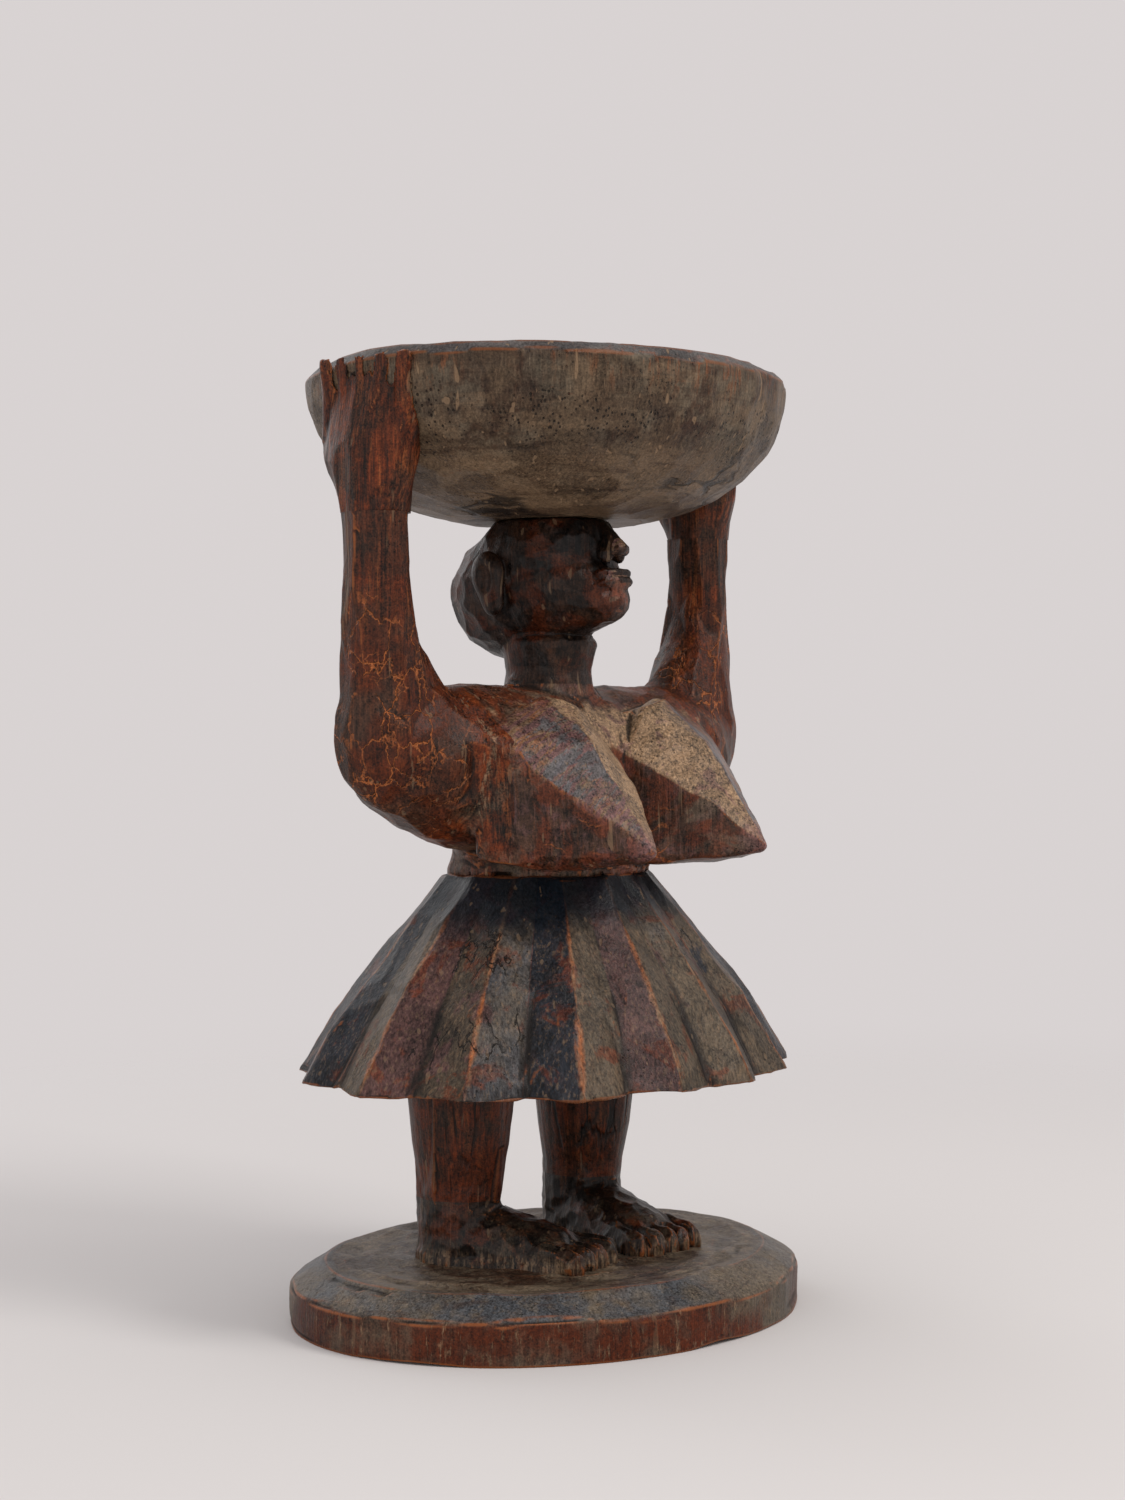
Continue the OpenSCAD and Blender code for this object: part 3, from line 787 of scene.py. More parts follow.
def inside(x, side):
    return (side * x, 0, 0), (side, 0, 0)


def sunk(mesh, level, depth):
    """Pushes what lies below a level further down, so that a piece seats in the one under it."""
    points = points_of(mesh)
    points[points[:, 2] < level, 2] -= depth
    move_points(mesh, points)


def show(node, mesh):
    """Makes a mesh the visible piece that stands for a CAD node."""
    slot = next(part["material_slot"] for part in frame["record"]["subparts"] if part["node"] == node)
    move_points(mesh, np.clip(points_of(mesh), *CAD_BOX))
    mesh.materials.clear()
    mesh.materials.append(finish_of(slot))
    mesh.polygons.foreach_set("use_smooth", np.ones(len(mesh.polygons), dtype=bool))
    mesh.name = "carved_" + node
    piece = new_object("carved_" + node, mesh)
    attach(piece, "root")
    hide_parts(node)


def lathe(rings, around):
    """A closed skin through level rings, each a (half width, half depth, height)."""
    angle = np.linspace(0, math.tau, around, endpoint=False)
    points = [(w * math.cos(a), d * math.sin(a), z) for w, d, z in rings for a in angle]
    faces = []
    for row in range(len(rings) - 1):
        for i in range(around):
            one, two = row * around + i, row * around + (i + 1) % around
            faces.append((one, two, two + around, one + around))
    last = (len(rings) - 1) * around
    for start, ring, turn in ((0, rings[0], -1), (last, rings[-1], 1)):
        points.append((0, 0, ring[2]))
        hub = len(points) - 1
        for i in range(around):
            edge = (start + i, start + (i + 1) % around)
            faces.append((hub, *edge[::turn]))
    return mesh_from("lathed", points, faces)


def spaced(route, step):
    """Points along a route of (x, y, z) corners, one about every step."""
    made = [route[0]]
    for one, two in zip(route, route[1:]):
        gap = math.dist(one, two)
        pieces = max(1, round(gap / step))
        made += [tuple(np.add(one, np.subtract(two, one) * k / pieces)) for k in range(1, pieces + 1)]
    return made


# ---- base ----

BEVEL_WIDTH = 14 * MM
BEVEL_HEIGHT = 8 * MM


def carve_base():
    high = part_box("base")[1]
    half_w, half_d = high.x, high.y
    top, edge = high.z, high.z - BEVEL_HEIGHT
    step = sizes().wide
    route = spaced([(6 * MM - half_w, 0, 0), (0, 0, 0), (0, 0, edge),
                    (-BEVEL_WIDTH, 0, top), (6 * MM - half_w, 0, top)], step * 1.15)
    rings = [(half_w + inset, (half_d + inset if inset > -half_d * 0.9
                               else half_d * 0.1 * (half_w + inset) / (half_w - half_d * 0.9)), z)
             for inset, _, z in route]
    mesh = lathe(rings, round(math.pi * (half_w + half_d) / step))
    points = points_of(mesh)
    z, radius = points[:, 2], np.hypot(points[:, 0] / half_w, points[:, 1] / half_d)
    inner = 1 - BEVEL_WIDTH / half_d
    topside = np.clip((z - edge - 0.6 * (top - edge)) / (0.3 * (top - edge)), 0, 1)
    flat_under = np.clip(z / (3 * MM), 0, 1)
    slope = normals_of(mesh)[:, 2]

    # the side is cut in upright flats, the bevel in short flats, and the top in swirling gouges
    on_side = flat_under * (slope < 0.3)
    cut_facets(mesh, 38 * MM, 2.2 * MM, lean=1.6, stretch=(1, 1, 4), seed=1, scoop=0, proud=0,
               amount=on_side)
    on_bevel = (1 - on_side) * flat_under * ramp(radius - inner - 0.02, 0.04)
    cut_facets(mesh, 30 * MM, 1.0 * MM, lean=2, seed=3, scoop=0, proud=0.1, amount=on_bevel)

    def swirl(points):
        ring = np.hypot(points[:, 0], points[:, 1] * half_w / half_d) + noise(points, 22, 19) * 7 * MM
        away = points[:, 0] * math.sin(VIEW_ANGLE) - points[:, 1] * math.cos(VIEW_ANGLE)
        across = points[:, 0] * math.cos(VIEW_ANGLE) + points[:, 1] * math.sin(VIEW_ANGLE)
        return np.stack([ring, np.arctan2(across, away) * 0.075, points[:, 2] * 0.2], 1)

    cut_facets(mesh, 7 * MM, 0.8 * MM, lean=6, stretch=(1, 4.5, 1), seed=2, warp=swirl,
               amount=topside * ramp(inner + 0.02 - radius, 0.10))
    points, normals = points_of(mesh), normals_of(mesh)
    wave = noise(points, 42, 3) * 0.7 * MM + noise(points, 160, 4) * 0.15 * MM
    move_points(mesh, points + normals * (wave * flat_under)[:, None])
    points = points_of(mesh)
    # the underside lifts off the floor here and there at its edge
    lift = np.clip(noise(points * (1, 1, 0), 26, 20, 2) + 0.15, 0, 0.5) * 4 * MM
    lift *= ramp(radius - 0.93, 0.05) * np.clip(1 - z / (10 * MM), 0, 1)
    points[:, 2] = np.where(z > 0, np.maximum(points[:, 2], 0.2 * MM * flat_under), 0) + lift
    move_points(mesh, points)
    smooth_mesh(mesh, 1)
    mark_wear(mesh)
    slope = normals_of(mesh)[:, 2]
    ragged = noise(points, 130, 5) * 0.6 * MM
    set_spot(mesh, "side", ramp(edge + 0.5 * MM + ragged - z, 0.8 * MM))
    # the bevel faces upward; the finish tints it blue-grey, partly as painted sheen
    set_spot(mesh, "bevel", ramp(slope - 0.35, 0.2) * (radius > inner - 0.01)
             * ramp(z - edge - ragged, 0.8 * MM))
    show("base", mesh)


# ---- legs and feet ----


def carve_leg(side):
    name = {-1: "right", 1: "left"}[side]
    foot, leg = name + "_foot", name + "_leg"
    ankle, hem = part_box(leg)[0].z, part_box(leg)[1].z
    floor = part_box(foot)[0].z
    mesh = block_of([foot, leg], sizes().medium)
    points = points_of(mesh)
    height = points[:, 2]
    on_leg = ramp(height - floor - 16 * MM, 14 * MM)
    cut_facets(mesh, 14 * MM, 1.5 * MM, lean=2.5, stretch=(1, 1, 5), amount=on_leg, seed=10 + side,
               scoop=0.1, proud=0.3)
    cut_facets(mesh, 6 * MM, 0.6 * MM, lean=6, amount=1 - on_leg, seed=20 + side)
    points, normals = points_of(mesh), normals_of(mesh)
    # upright nicks in the edge of the sole, where it was cut free of the base
    sole = ramp(floor + 6 * MM - points[:, 2], 3 * MM)
    nicks = noise(points * (1, 1, 0.12), 620, 6, 1) * 0.45 * MM * sole
    wave = noise(points * (1, 1, 0.3), 95, 7) * 0.35 * MM
    move_points(mesh, points + normals * (wave + nicks)[:, None])
    mark_wear(mesh)
    set_spot(mesh, "sole", sole)
    upper = trimmed(mesh, above(ankle))
    points = points_of(upper)
    points[points[:, 2] > hem - 1.5 * MM, 2] += 2.5 * MM
    move_points(upper, points)
    show(leg, upper)
    lower = trimmed(mesh, below(ankle))
    sunk(lower, floor + 1.2 * MM, 2 * MM)
    show(foot, lower)


# ---- skirt ----


def skirt_tree():
    """Geometry nodes that fold a flat grid into a closed skirt of V-shaped pleats."""
    tree = bpy.data.node_groups.new("Pleated Skirt", "GeometryNodeTree")
    face = tree.interface
    for name, kind in (("Pleats", "Int"), ("Columns", "Int"), ("Rows", "Int"), ("Hem Width", "Float"),
                       ("Hem Depth", "Float"), ("Waist Width", "Float"), ("Waist Depth", "Float"),
                       ("Hem Height", "Float"), ("Length", "Float"), ("Pleat Depth", "Float"),
                       ("Pleat Fade", "Float"), ("Flare", "Float"), ("First Fold", "Float"),
                       ("Drift", "Float"), ("Undercut", "Float"), ("Under Share", "Float"),
                       ("Top Share", "Float"), ("Material", "Material")):
        face.new_socket(name, in_out="INPUT", socket_type="NodeSocket" + kind)
    face.new_socket("Skirt", in_out="OUTPUT", socket_type="NodeSocketGeometry")
    b = Bench(tree)
    b.node("NodeGroupInput")
    given = {socket.name: Wire(tree, socket) for socket in b.last.outputs if socket.name}
    columns, rows = given["Columns"] + 1, given["Rows"] + 1
    grid = b.node("GeometryNodeMeshGrid", None,
                  {"Size X": 1.0, "Size Y": 1.0, "Vertices X": columns, "Vertices Y": rows}, out="Mesh")
    flat = b.node("GeometryNodeInputPosition")
    b.node("ShaderNodeSeparateXYZ", None, {0: flat})
    round_it = Wire(tree, b.last.outputs["X"]) + 0.5
    up_it = Wire(tree, b.last.outputs["Y"]) + 0.5

    # the grid's rows run under the hem from the middle out, up the skirt, and in over the top
    under = (up_it / given["Under Share"]).clamped()
    rise = ((up_it - given["Under Share"]) / (1 - given["Under Share"] - given["Top Share"])).clamped()
    lid = ((up_it - 1 + given["Top Share"]) / given["Top Share"]).clamped()
    reach = under * (1 - lid * 0.999)
    bulge = rise ** given["Flare"]
    half_w = (given["Hem Width"] + (given["Waist Width"] - given["Hem Width"]) * bulge) * 0.5
    half_d = (given["Hem Depth"] + (given["Waist Depth"] - given["Hem Depth"]) * bulge) * 0.5

    place = round_it * given["Pleats"]
    valley = (place.maths("FRACT") * 2 - 1).maths("ABSOLUTE")
    inset = valley * given["Pleat Depth"] * (1 - given["Pleat Fade"] * rise)
    even = given["First Fold"] + round_it * math.tau
    angle = even + given["Drift"] * (even * 2 + math.radians(250)).maths("COSINE")
    x = (half_w - inset) * angle.maths("COSINE") * reach
    y = (half_d - inset) * angle.maths("SINE") * reach
    hollow = given["Undercut"] * (1 - under ** 3)
    z = given["Hem Height"] + given["Length"] * rise + hollow
    spot = b.node("ShaderNodeCombineXYZ", None, {"X": x, "Y": y, "Z": z})
    stored = b.node("GeometryNodeStoreNamedAttribute", {"data_type": "FLOAT", "domain": "POINT"},
                    {"Geometry": grid, "Name": "place", "Value": place})
    for name, value in (("valley", valley), ("rise", rise), ("lid", lid), ("under", under)):
        stored = b.node("GeometryNodeStoreNamedAttribute", {"data_type": "FLOAT", "domain": "POINT"},
                        {"Geometry": stored, "Name": name, "Value": value})
    folded = b.node("GeometryNodeSetPosition", None, {"Geometry": stored, "Position": spot})
    closed = b.node("GeometryNodeMergeByDistance", None, {"Geometry": folded, "Distance": 0.02 * MM})
    real = b.node("GeometryNodeRealizeInstances", None, {"Geometry": closed})
    painted = b.node("GeometryNodeSetMaterial", None, {"Geometry": real, "Material": given["Material"]})
    b.node("NodeGroupOutput", None, {"Skirt": painted})
    return tree


def grown(tree, values):
    """The plain mesh that a geometry node tree makes from these named inputs."""
    thing = new_object("grown", bpy.data.meshes.new("grown"))
    modifier = thing.modifiers.new("Grow", "NODES")
    modifier.node_group = tree
    keys = {item.name: item.identifier for item in tree.interface.items_tree
            if item.in_out == "INPUT"}
    for name, value in values.items():
        modifier[keys[name]] = value
    return baked(thing)


def spot_of(mesh, name):
    values = np.empty(len(mesh.vertices), dtype=np.float32)
    mesh.attributes[name].data.foreach_get("value", values)
    return values.astype(float)


NAVY, PLUM, SLATE = (0.08, 0.12), (0.22, 0.58), (0.28, 0.88)
LIGHT, TAWNY, BROWN = (0.88, 0.15), (0.78, 0.35), (0.70, 0.70)
# how much bare wood each face of a pleat shows, and which stain it took, in order round the skirt
PLEAT_STAINS = [NAVY, LIGHT, PLUM, BROWN, SLATE, NAVY, TAWNY, PLUM, LIGHT, SLATE, BROWN, TAWNY,
                LIGHT, NAVY, PLUM]


def carve_skirt():
    low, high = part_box("skirt")
    cut, top = skirt_sizes(), span("waist")
    per_pleat = 40
    mesh = grown(skirt_tree(), {
        "Pleats": cut.pleats, "Columns": cut.pleats * per_pleat, "Rows": 150,
        "Hem Width": 2 * max(-low.x, high.x), "Hem Depth": 2 * max(-low.y, high.y),
        "Waist Width": top.x, "Waist Depth": top.y, "Hem Height": low.z, "Length": high.z - low.z,
        "Pleat Depth": cut.depth, "Pleat Fade": cut.fade, "Flare": cut.flare,
        "First Fold": cut.start, "Drift": cut.drift, "Undercut": cut.undercut,
        "Under Share": 0.25, "Top Share": 0.1, "Material": finish_of("skirt_wood")})
    make_outward(mesh)
    place, valley, rise, lid, under = (spot_of(mesh, name)
                                       for name in ("place", "valley", "rise", "lid", "under"))
    side = (under > 0.97) * (lid < 0.03)
    flank = np.floor(place * 2).astype(int) % (cut.pleats * 2)
    stains = np.array([PLEAT_STAINS[(k - 13) % len(PLEAT_STAINS)] for k in range(cut.pleats * 2)])
    cut_facets(mesh, 15 * MM, 0.8 * MM, lean=2.5, stretch=(1, 1, 2.6), amount=side, seed=30)
    cut_facets(mesh, 12 * MM, 0.6 * MM, lean=4, amount=under < 0.97, seed=31)
    points, normals = points_of(mesh), normals_of(mesh)
    wave = noise(points * (1, 1, 0.5), 48, 8) * 0.9 * MM + noise(points, 170, 9) * 0.2 * MM
    points = points + normals * (wave * side)[:, None]
    ragged = noise(points * (1, 1, 0), 75, 10) * 0.8 * MM + 0.8 * MM
    points[:, 2] += ragged * np.clip(1 - rise * 12, 0, 1) * (under > 0.9)
    move_points(mesh, points)
    mark_wear(mesh)
    set_spot(mesh, "tone", stains[flank, 0])
    set_spot(mesh, "hue", stains[flank, 1])
    x, y, _ = points_of(mesh).T
    # painted shadow: marks the upper front of the skirt, under the chest, for the finish to darken
    faces_front = np.clip(0.5 + (-y * 0.8 - x * 0.6) / (40 * MM), 0, 1)
    set_spot(mesh, "soot_and_shade", ramp(rise - 0.55, 0.4) * faces_front * side)
    set_spot(mesh, "crest", np.clip(1 - valley * 5, 0, 1) * side)
    set_spot(mesh, "fold", valley * side * np.clip(1.4 - rise, 0, 1))
    show("skirt", mesh)


def make_outward(mesh):
    """Turns a closed mesh's faces outwards."""
    bm = bmesh.new()
    bm.from_mesh(mesh)
    bmesh.ops.recalc_face_normals(bm, faces=bm.faces)
    if bm.calc_volume(signed=True) < 0:
        bmesh.ops.reverse_faces(bm, faces=bm.faces)
    bm.to_mesh(mesh)
    bm.free()


# ---- trunk: waist, chest, breasts, arms and neck ----

TRUNK = ["waist", "torso", "right_breast", "left_breast", "right_upper_arm", "left_upper_arm",
         "right_forearm", "left_forearm", "neck"]


BREAST_FRONT = 36 * MM
NECK_REACH = 32 * MM


def neck_join():
    """The height at which the neck's piece ends and the head's begins."""
    shoulder_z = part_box("torso")[1].z
    return shoulder_z + 0.75 * (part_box("head")[0].z - shoulder_z)


def line_after(across, forth, where):
    """1 on the front of the trunk along an upright line, and 0 a few millimetres off it."""
    return np.exp(-((across - where) / (4.5 * MM)) ** 2) * ramp(-forth - 14 * MM, 8 * MM)


def carve_trunk():
    mesh = block_of(TRUNK + ["right_hand", "left_hand", "head"], sizes().coarse)
    chest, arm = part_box("torso"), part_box("left_forearm")
    shoulder_x, shoulder_z, chest_z = chest[1].x, chest[1].z, chest[0].z
    wrist, crook = arm[1].z, arm[0].z
    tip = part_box("left_breast")[0].y
    mesh = trimmed(mesh, below(wrist + 4 * MM))
    points, normals = points_of(mesh), normals_of(mesh)
    x, y, z = points.T
    far_x = np.abs(x)

    # the limbs flow into the chest, and a worn groove parts each upper arm from it
    around = ramp(far_x - 44 * MM, 12 * MM)
    around = around * ramp(108 * MM - far_x, 8 * MM)
    for _ in range(2):
        filled(mesh, 70, np.maximum(around, z < chest_z + 9 * MM) * (z > chest_z - 3 * MM))
    smooth_mesh(mesh, 2)
    points, normals = points_of(mesh), normals_of(mesh)
    x, y, z = points.T
    far_x = np.abs(x)
    groove = line_after(far_x, y, shoulder_x + 9 * MM)
    groove = groove * ramp(shoulder_z - 16 * MM - z, 16 * MM)
    groove = groove * 1.6 * MM
    # nothing moves where the neck runs on into the head
    plain = np.where(far_x < NECK_REACH, ramp(neck_join() - z, 8 * MM), 1)
    wave = noise(points * (1, 1, 0.6), 45, 11) * 0.8 * MM + noise(points, 140, 12) * 0.2 * MM
    move_points(mesh, points + normals * (wave * plain - groove)[:, None])

    points, normals = points_of(mesh), normals_of(mesh)
    ringed = ramp(points[:, 2] - shoulder_z, 3 * MM) * (far_x < NECK_REACH)
    rings = noise(points * (0.25, 0.25, 1), 430, 21, 2) * 0.45 * MM
    move_points(mesh, points + normals * (rings * ringed * plain)[:, None])

    # the lower outer corner of each breast is worn round where it meets the arm
    points = points_of(mesh)
    corner = ramp(far_x - shoulder_x + 10 * MM, 6 * MM)
    corner = corner * ramp(-y - 16 * MM, 8 * MM)
    corner = corner * ramp(chest_z + 36 * MM - z, 12 * MM)
    move_points(mesh, points + (relaxed(mesh, points, 30) - points) * corner[:, None])

    on_breast = ramp(-y - BREAST_FRONT, 6 * MM) * (far_x < shoulder_x)
    on_arm = ramp(far_x - shoulder_x, 10 * MM)
    calm = 1 - on_breast
    cut_facets(mesh, 13 * MM, 0.8 * MM, lean=3, stretch=(1, 1, 1.6),
               amount=calm * (1 - on_arm) * plain, seed=40)
    cut_facets(mesh, 12 * MM, 1.0 * MM, lean=3, stretch=(1, 1, 2.4), amount=on_arm, seed=41)
    cut_facets(mesh, 8 * MM, 0.35 * MM, lean=2, amount=on_breast, seed=42)
    mark_wear(mesh)
    points, normals = points_of(mesh), normals_of(mesh)
    x, y, z = points.T
    far_x = np.abs(x)

    # the elbows carry a crazed crust, which thins out up the forearm and towards the chest
    centre = np.array([0.93 * (shoulder_x + span("left_upper_arm").x), 0,
                       chest_z + 0.62 * (shoulder_z - chest_z)])
    away = np.linalg.norm((np.stack([far_x, y, z], 1) - centre) * (1.0, 0.9, 0.72), axis=1)
    patchy = noise(points, 60, 13) * 10 * MM
    set_spot(mesh, "crust", ramp(46 * MM - away + patchy, 14 * MM)
             * (far_x > shoulder_x - 6 * MM))

    # the upward inner face of each breast is worn pale and also painted lighter as top light; the upward
    # outer face is painted warmer as top light and takes a grey film, partly painted sheen
    lie = relaxed(mesh, normals, 8)
    inward = -np.sign(x) * lie[:, 0]
    upward = ramp(lie[:, 2] - 0.12, 0.25)
    forward = ramp(-y - 14 * MM, 12 * MM) * (far_x < shoulder_x + 6 * MM)
    # painted top light and real wear: the upward inner faces of the breasts
    set_spot(mesh, "rub_and_top_light", forward * ramp(inward + 0.3, 0.3) * upward)
    # painted top light and painted sheen: the upward outer faces of the breasts
    set_spot(mesh, "top", ramp(-y - 24 * MM, 12 * MM)
             * np.clip(0.6 - inward * 3, 0, 1) * upward)
    set_spot(mesh, "tip", ramp(tip + 9 * MM - y, 7 * MM))
    set_spot(mesh, "neck", ramp(z - shoulder_z, 2 * MM) * (far_x < 30 * MM))
    set_spot(mesh, "chest", ramp(shoulder_x + 22 * MM - far_x, 14 * MM)
             * ramp(shoulder_z - z, 10 * MM))
    set_spot(mesh, "crease", line_after(far_x, y, shoulder_x + 6 * MM) * (z < shoulder_z - 12 * MM))
    set_spot(mesh, "reach", ramp(z - crook - 20 * MM, 40 * MM))

    in_front, behind = ((0, -BREAST_FRONT, 0), (0, 1, 0)), ((0, -BREAST_FRONT, 0), (0, -1, 0))
    waist_z = chest_z + 1.5 * MM
    body = trimmed(mesh, behind)
    for name, side in SIDES.items():
        breast_side = inside(shoulder_x + 20 * MM, side)
        show(name + "_breast", trimmed(mesh, in_front, outside(0, side), breast_side))
        show(name + "_upper_arm", trimmed(body, outside(shoulder_x, side), below(crook)))
        show(name + "_forearm", trimmed(body, outside(shoulder_x, side), above(crook), below(wrist)))
    core = trimmed(body, inside(shoulder_x, 1), inside(shoulder_x, -1))
    show("torso", trimmed(core, above(waist_z), below(shoulder_z + 0.5 * MM)))
    show("neck", trimmed(core, above(shoulder_z + 0.5 * MM), below(neck_join())))
    low = trimmed(core, below(waist_z))
    sunk(low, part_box("waist")[0].z + 1.2 * MM, 1.5 * MM)
    show("waist", low)


# ---- hands ----


def carve_hand(side):
    name = {-1: "right", 1: "left"}[side]
    hand, forearm = name + "_hand", name + "_forearm"
    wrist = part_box(hand)[0].z
    mesh = trimmed(block_of([hand, forearm], sizes().medium), above(wrist - 8 * MM))
    points, normals = points_of(mesh), normals_of(mesh)
    # the heel of the hand spreads back round the end of the bowl
    spread = np.exp(-((points[:, 2] - wrist - 24 * MM) / (17 * MM)) ** 2)
    spread = spread * np.clip(points[:, 1] / (20 * MM), 0, 1)
    points[:, 1] += 10 * MM * spread
    points[:, 0] -= side * 3 * MM * spread
    wave = noise(points * (1, 1, 0.25), 110, 14) * 0.35 * MM
    move_points(mesh, points + normals * wave[:, None])
    cut_facets(mesh, 7 * MM, 0.5 * MM, lean=4, stretch=(1, 1, 3.0), seed=50 + side)
    mark_wear(mesh)
    for name in ("crust", "chest", "crease"):
        set_spot(mesh, name, np.zeros(len(mesh.vertices)))
    set_spot(mesh, "reach", np.full(len(mesh.vertices), 0.6))
    show(hand, trimmed(mesh, above(wrist)))


# ---- head ----


def carve_head():
    mesh = block_of(["head", "right_ear", "left_ear", "neck"], sizes().fine)
    points = points_of(mesh)
    at_back = ramp(points[:, 1] + 4 * MM, 12 * MM)
    ear_x = span("head").x / 2 + 0.2 * MM
    # the ears and the join with the neck aren't cut
    free = ramp(ear_x - np.abs(points[:, 0]), 1 * MM)
    free = free * ramp(points[:, 2] - neck_join(), 8 * MM)
    cut_facets(mesh, 9.5 * MM, 0.9 * MM, lean=5, amount=at_back * free, seed=60)
    cut_facets(mesh, 5 * MM, 0.3 * MM, lean=4, amount=(1 - at_back) * free, seed=61)
    points, normals = points_of(mesh), normals_of(mesh)
    wave = noise(points, 130, 15) * 0.2 * MM * ramp(points[:, 2] - neck_join(), 8 * MM)
    move_points(mesh, points + normals * wave[:, None])
    mark_wear(mesh)
    mesh = trimmed(mesh, above(neck_join()))
    show("head", trimmed(mesh, inside(ear_x, 1), inside(ear_x, -1)))
    for name, side in SIDES.items():
        show(name + "_ear", trimmed(mesh, outside(ear_x, side)))


# ---- bowl ----

RIM_CHAMFER = 4 * MM
BOWL_WALL = 10 * MM
BOWL_FLOOR = 12 * MM
BOWL_CUT = 0.95
UNDERSIDE_RINGS = 34


def bowl_share(u):
    """The share of the rim's radius that the bowl still has at depth u."""
    return (1 - u ** 2.2) ** 0.42


def bowl_curve(half_w, half_d, top, depth, steps):
    """Rings down a rounded bowl, from its rim to where its underside is flat."""
    made = []
    for k in range(steps + 1):
        u = BOWL_CUT * math.sin(math.pi / 2 * k / steps)
        made.append((half_w * bowl_share(u), half_d * bowl_share(u), top - depth * u / BOWL_CUT))
    return made


def carve_bowl():
    low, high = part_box("bowl")
    half_w, half_d, rim, height = high.x, high.y, high.z, high.z - low.z
    step = sizes().wide
    outer = bowl_curve(half_w, half_d, rim - RIM_CHAMFER, height - RIM_CHAMFER, 84)[::-1]
    hole_w, hole_d = half_w - BOWL_WALL, half_d - BOWL_WALL
    inner = bowl_curve(hole_w, hole_d, rim, height - BOWL_FLOOR, 70)

    def disc(ring, steps):
        return [(ring[0] * k / steps, ring[1] * k / steps, ring[2]) for k in range(1, steps)]

    lip = [(half_w - RIM_CHAMFER * k / 4, half_d - RIM_CHAMFER * k / 4, rim - RIM_CHAMFER * (1 - k / 4))
           for k in range(1, 5)]
    flat = [(lip[-1][0] + (hole_w - lip[-1][0]) * k / 5, lip[-1][1] + (hole_d - lip[-1][1]) * k / 5, rim)
            for k in range(1, 5)]
    rings = disc(outer[0], UNDERSIDE_RINGS) + outer + lip + flat + inner + disc(inner[-1], 30)[::-1]
    around = round(math.pi * (half_w + half_d) / step)
    mesh = lathe(rings, around)
    make_outward(mesh)
    points = points_of(mesh)
    rows = np.minimum(np.arange(len(points)) // around, len(rings) - 1)
    hollow_side = rows >= UNDERSIDE_RINGS + len(outer) + 7
    normals = normals_of(mesh)
    wave = noise(points, 34, 16) * 0.9 * MM + noise(points, 120, 17) * 0.2 * MM
    move_points(mesh, points + normals * wave[:, None])
    cut_facets(mesh, 15 * MM, 0.5 * MM, lean=1.8, stretch=(1, 1, 0.8), amount=~hollow_side, seed=70)
    cut_facets(mesh, 11 * MM, 0.9 * MM, lean=3.0, amount=hollow_side, seed=71)
    points = points_of(mesh)
    # the rim dips and draws in at her right end, as the carver left it
    share_up = np.clip((points[:, 2] - low.z) / height, 0, 1)
    across = points[:, 0] * math.cos(VIEW_ANGLE) + points[:, 1] * math.sin(VIEW_ANGLE)
    droop = ramp(-across - 20 * MM, 76 * MM) ** 1.5
    points[:, :2] *= (1 - 0.018 * droop)[:, None]
    points[:, 2] -= share_up * (4.2 * MM * droop + (noise(points, 28, 18) + 1) * 0.4 * MM)
    points[:, 2] = np.minimum(points[:, 2], rim)
    move_points(mesh, points)
    mark_wear(mesh)
    set_spot(mesh, "belt", np.exp(-((points[:, 2] - low.z - 0.55 * height) / (9 * MM)) ** 2))
    # the upward chamfer at the rim, which the finish tints blue-grey, partly as painted sheen
    slope = normals_of(mesh)[:, 2]
    near_rim = points[:, 2] > rim - RIM_CHAMFER - 6 * MM
    set_spot(mesh, "chamfer", ((slope > 0.45) & near_rim).astype(float))
    set_spot(mesh, "rim", np.clip(1 - (rim - RIM_CHAMFER - points[:, 2]) / (16 * MM), 0, 1)
             * ~hollow_side)
    # the lower outside of the bowl: painted lighter tan as light from below, and there its bands and
    # splits are stronger
    set_spot(mesh, "low", ramp(low.z + 0.42 * height - points[:, 2], 8 * MM)
             * ~hollow_side)
    show("bowl", mesh)


# ---- stage ----

VIEW_DISTANCE = 1.08
EYE_HEIGHT = 0.235
AIM_HEIGHT = 0.223
SIDE_STEP = 5.6 * MM
LENS = 64.8
LIGHT_AIM = 0.19
FLOOR_REACH = 3.0


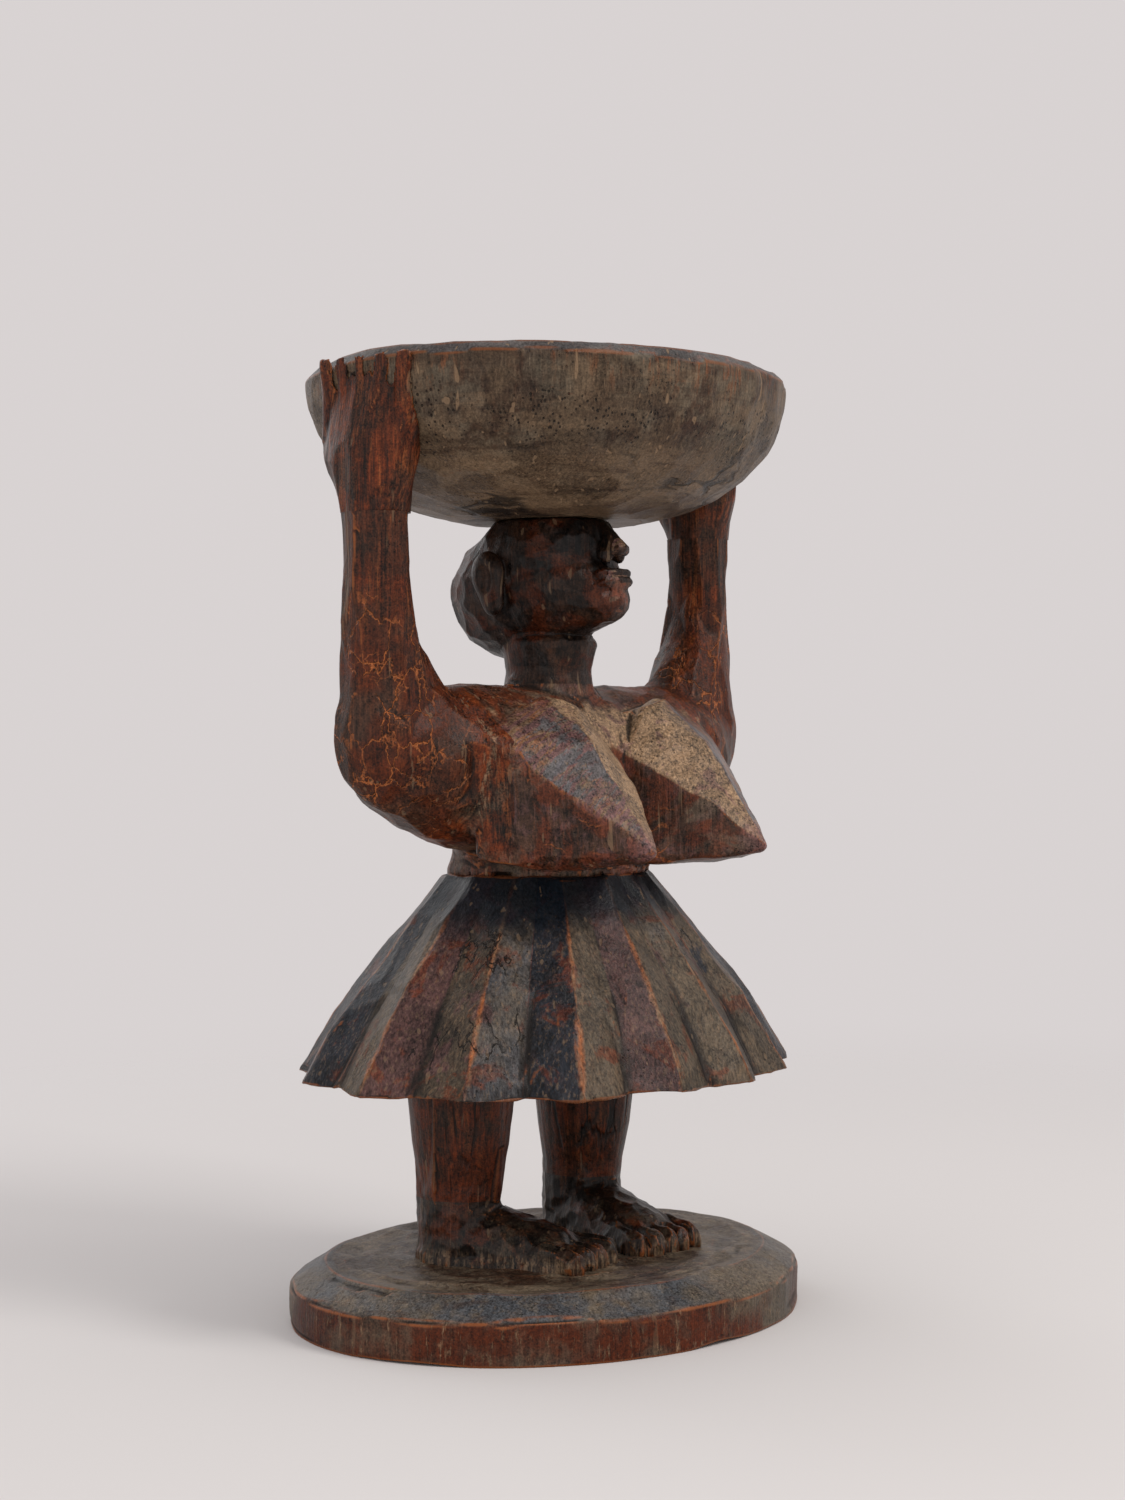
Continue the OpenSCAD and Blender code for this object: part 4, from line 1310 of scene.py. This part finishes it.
def stage():
    scene = bpy.context.scene
    back = Vector((math.sin(VIEW_ANGLE), -math.cos(VIEW_ANGLE), 0))
    right = Vector((math.cos(VIEW_ANGLE), math.sin(VIEW_ANGLE), 0))
    camera = bpy.data.objects.new("camera", bpy.data.cameras.new("camera"))
    camera.data.lens = LENS
    camera.data.sensor_width = 36
    camera.data.clip_start = 0.01
    eye = back * VIEW_DISTANCE + right * SIDE_STEP + Vector((0, 0, EYE_HEIGHT))
    aim = right * SIDE_STEP + Vector((0, 0, AIM_HEIGHT))
    camera.location = eye
    camera.rotation_euler = (aim - eye).to_track_quat("-Z", "Y").to_euler()
    scene.collection.objects.link(camera)
    scene.camera = camera

    def softbox(name, direction, height, distance, size, power, colour):
        light = bpy.data.lights.new(name, "AREA")
        light.shape = "RECTANGLE"
        light.size, light.size_y = size
        light.energy = power
        light.color = colour
        thing = bpy.data.objects.new(name, light)
        target = Vector((0, 0, LIGHT_AIM))
        thing.location = direction.normalized() * distance + Vector((0, 0, height))
        thing.rotation_euler = (target - thing.location).to_track_quat("-Z", "Y").to_euler()
        scene.collection.objects.link(thing)

    softbox("key", back * 0.55 + right * 0.9, 1.25, 1.1, (0.55, 0.55), 9.5, (1, 0.96, 0.92))
    softbox("fill", back * 0.9 - right * 0.9, 0.55, 1.4, (1.2, 1.4), 2.6, (1, 0.98, 0.97))
    softbox("edge", -back * 0.8 - right * 0.7, 0.9, 1.2, (0.8, 1.0), 2.5, (0.96, 0.98, 1))
    softbox("under", back, 0.12, 1.5, (1.6, 0.5), 2.2, (1, 0.97, 0.94))

    ink = colours()
    world = bpy.data.worlds.new("studio")
    world.use_nodes = True
    world.node_tree.nodes["Background"].inputs["Color"].default_value = (*ink.floor, 1)
    world.node_tree.nodes["Background"].inputs["Strength"].default_value = 1.0
    scene.world = world
    scene.view_settings.view_transform = "Standard"

    corners = [(FLOOR_REACH * math.cos(a), FLOOR_REACH * math.sin(a), 0)
               for a in np.linspace(0, math.tau, 96, endpoint=False)]
    floor = new_object("floor", mesh_from("floor", corners, [tuple(range(96))]))
    p = Patina("floor_paper")
    distance = p.node("ShaderNodeVectorMath", {"operation": "LENGTH"}, {0: p.place}, out="Value")
    paper = p.node("ShaderNodeBsdfDiffuse", None, {"Color": (0.72, 0.71, 0.705, 1)})
    nothing = p.node("ShaderNodeBsdfTransparent")
    faded = p.node("ShaderNodeMixShader", None, {0: distance.step(0.35, 1.1), 1: paper, 2: nothing})
    p.node("ShaderNodeOutputMaterial", None, {"Surface": faded})
    floor.data.materials.append(p.material)


# ---- the add-on ----


def carving_operator(name, label, about, work):
    """An operator class that runs one step of the carving."""

    def execute(self, context):
        work()
        return {"FINISHED"}

    kind = "CARVING_OT_" + name
    return type(kind, (bpy.types.Operator,),
                {"bl_idname": "carving." + name, "bl_label": label, "__doc__": about,
                 "execute": execute})


def both(work):
    return lambda: [work(side) for side in SIDES.values()]


STEPS = [
    carving_operator("base", "Base", "Carves the oval base", carve_base),
    carving_operator("legs", "Legs and Feet", "Carves both legs and feet", both(carve_leg)),
    carving_operator("skirt", "Skirt", "Folds and carves the pleated skirt", carve_skirt),
    carving_operator("trunk", "Trunk and Arms", "Carves the chest, arms and neck", carve_trunk),
    carving_operator("hands", "Hands", "Carves both hands", both(carve_hand)),
    carving_operator("head", "Head", "Carves the head and ears", carve_head),
    carving_operator("bowl", "Bowl", "Carves and hollows the bowl", carve_bowl),
    carving_operator("stage", "Stage", "Sets the floor, lights and camera", stage),
]


class CARVING_PT_panel(bpy.types.Panel):
    """The steps of the carving, in order"""

    bl_label = "Carved Bowl Bearer"
    bl_idname = "CARVING_PT_panel"
    bl_space_type = "VIEW_3D"
    bl_region_type = "UI"
    bl_category = "Carving"

    def draw(self, context):
        scene = context.scene
        for group in (scene.carving_sizes, scene.skirt_sizes, scene.patina_colours):
            for name in group.bl_rna.properties.keys():
                if name not in {"rna_type", "name"}:
                    self.layout.prop(group, name)
        for step in STEPS:
            self.layout.operator(step.bl_idname)


CLASSES = [CarvingSizes, SkirtSizes, PatinaColours, *STEPS, CARVING_PT_panel]


def register():
    for item in CLASSES:
        bpy.utils.register_class(item)
    bpy.types.Scene.carving_sizes = PointerProperty(type=CarvingSizes)
    bpy.types.Scene.skirt_sizes = PointerProperty(type=SkirtSizes)
    bpy.types.Scene.patina_colours = PointerProperty(type=PatinaColours)


def unregister():
    for name in ("carving_sizes", "skirt_sizes", "patina_colours"):
        delattr(bpy.types.Scene, name)
    for item in reversed(CLASSES):
        bpy.utils.unregister_class(item)


def main():
    register()
    for name in ("base", "legs", "skirt", "trunk", "hands", "head", "bowl", "stage"):
        getattr(bpy.ops.carving, name)()
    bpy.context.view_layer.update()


if __name__ == "__main__":
    main()
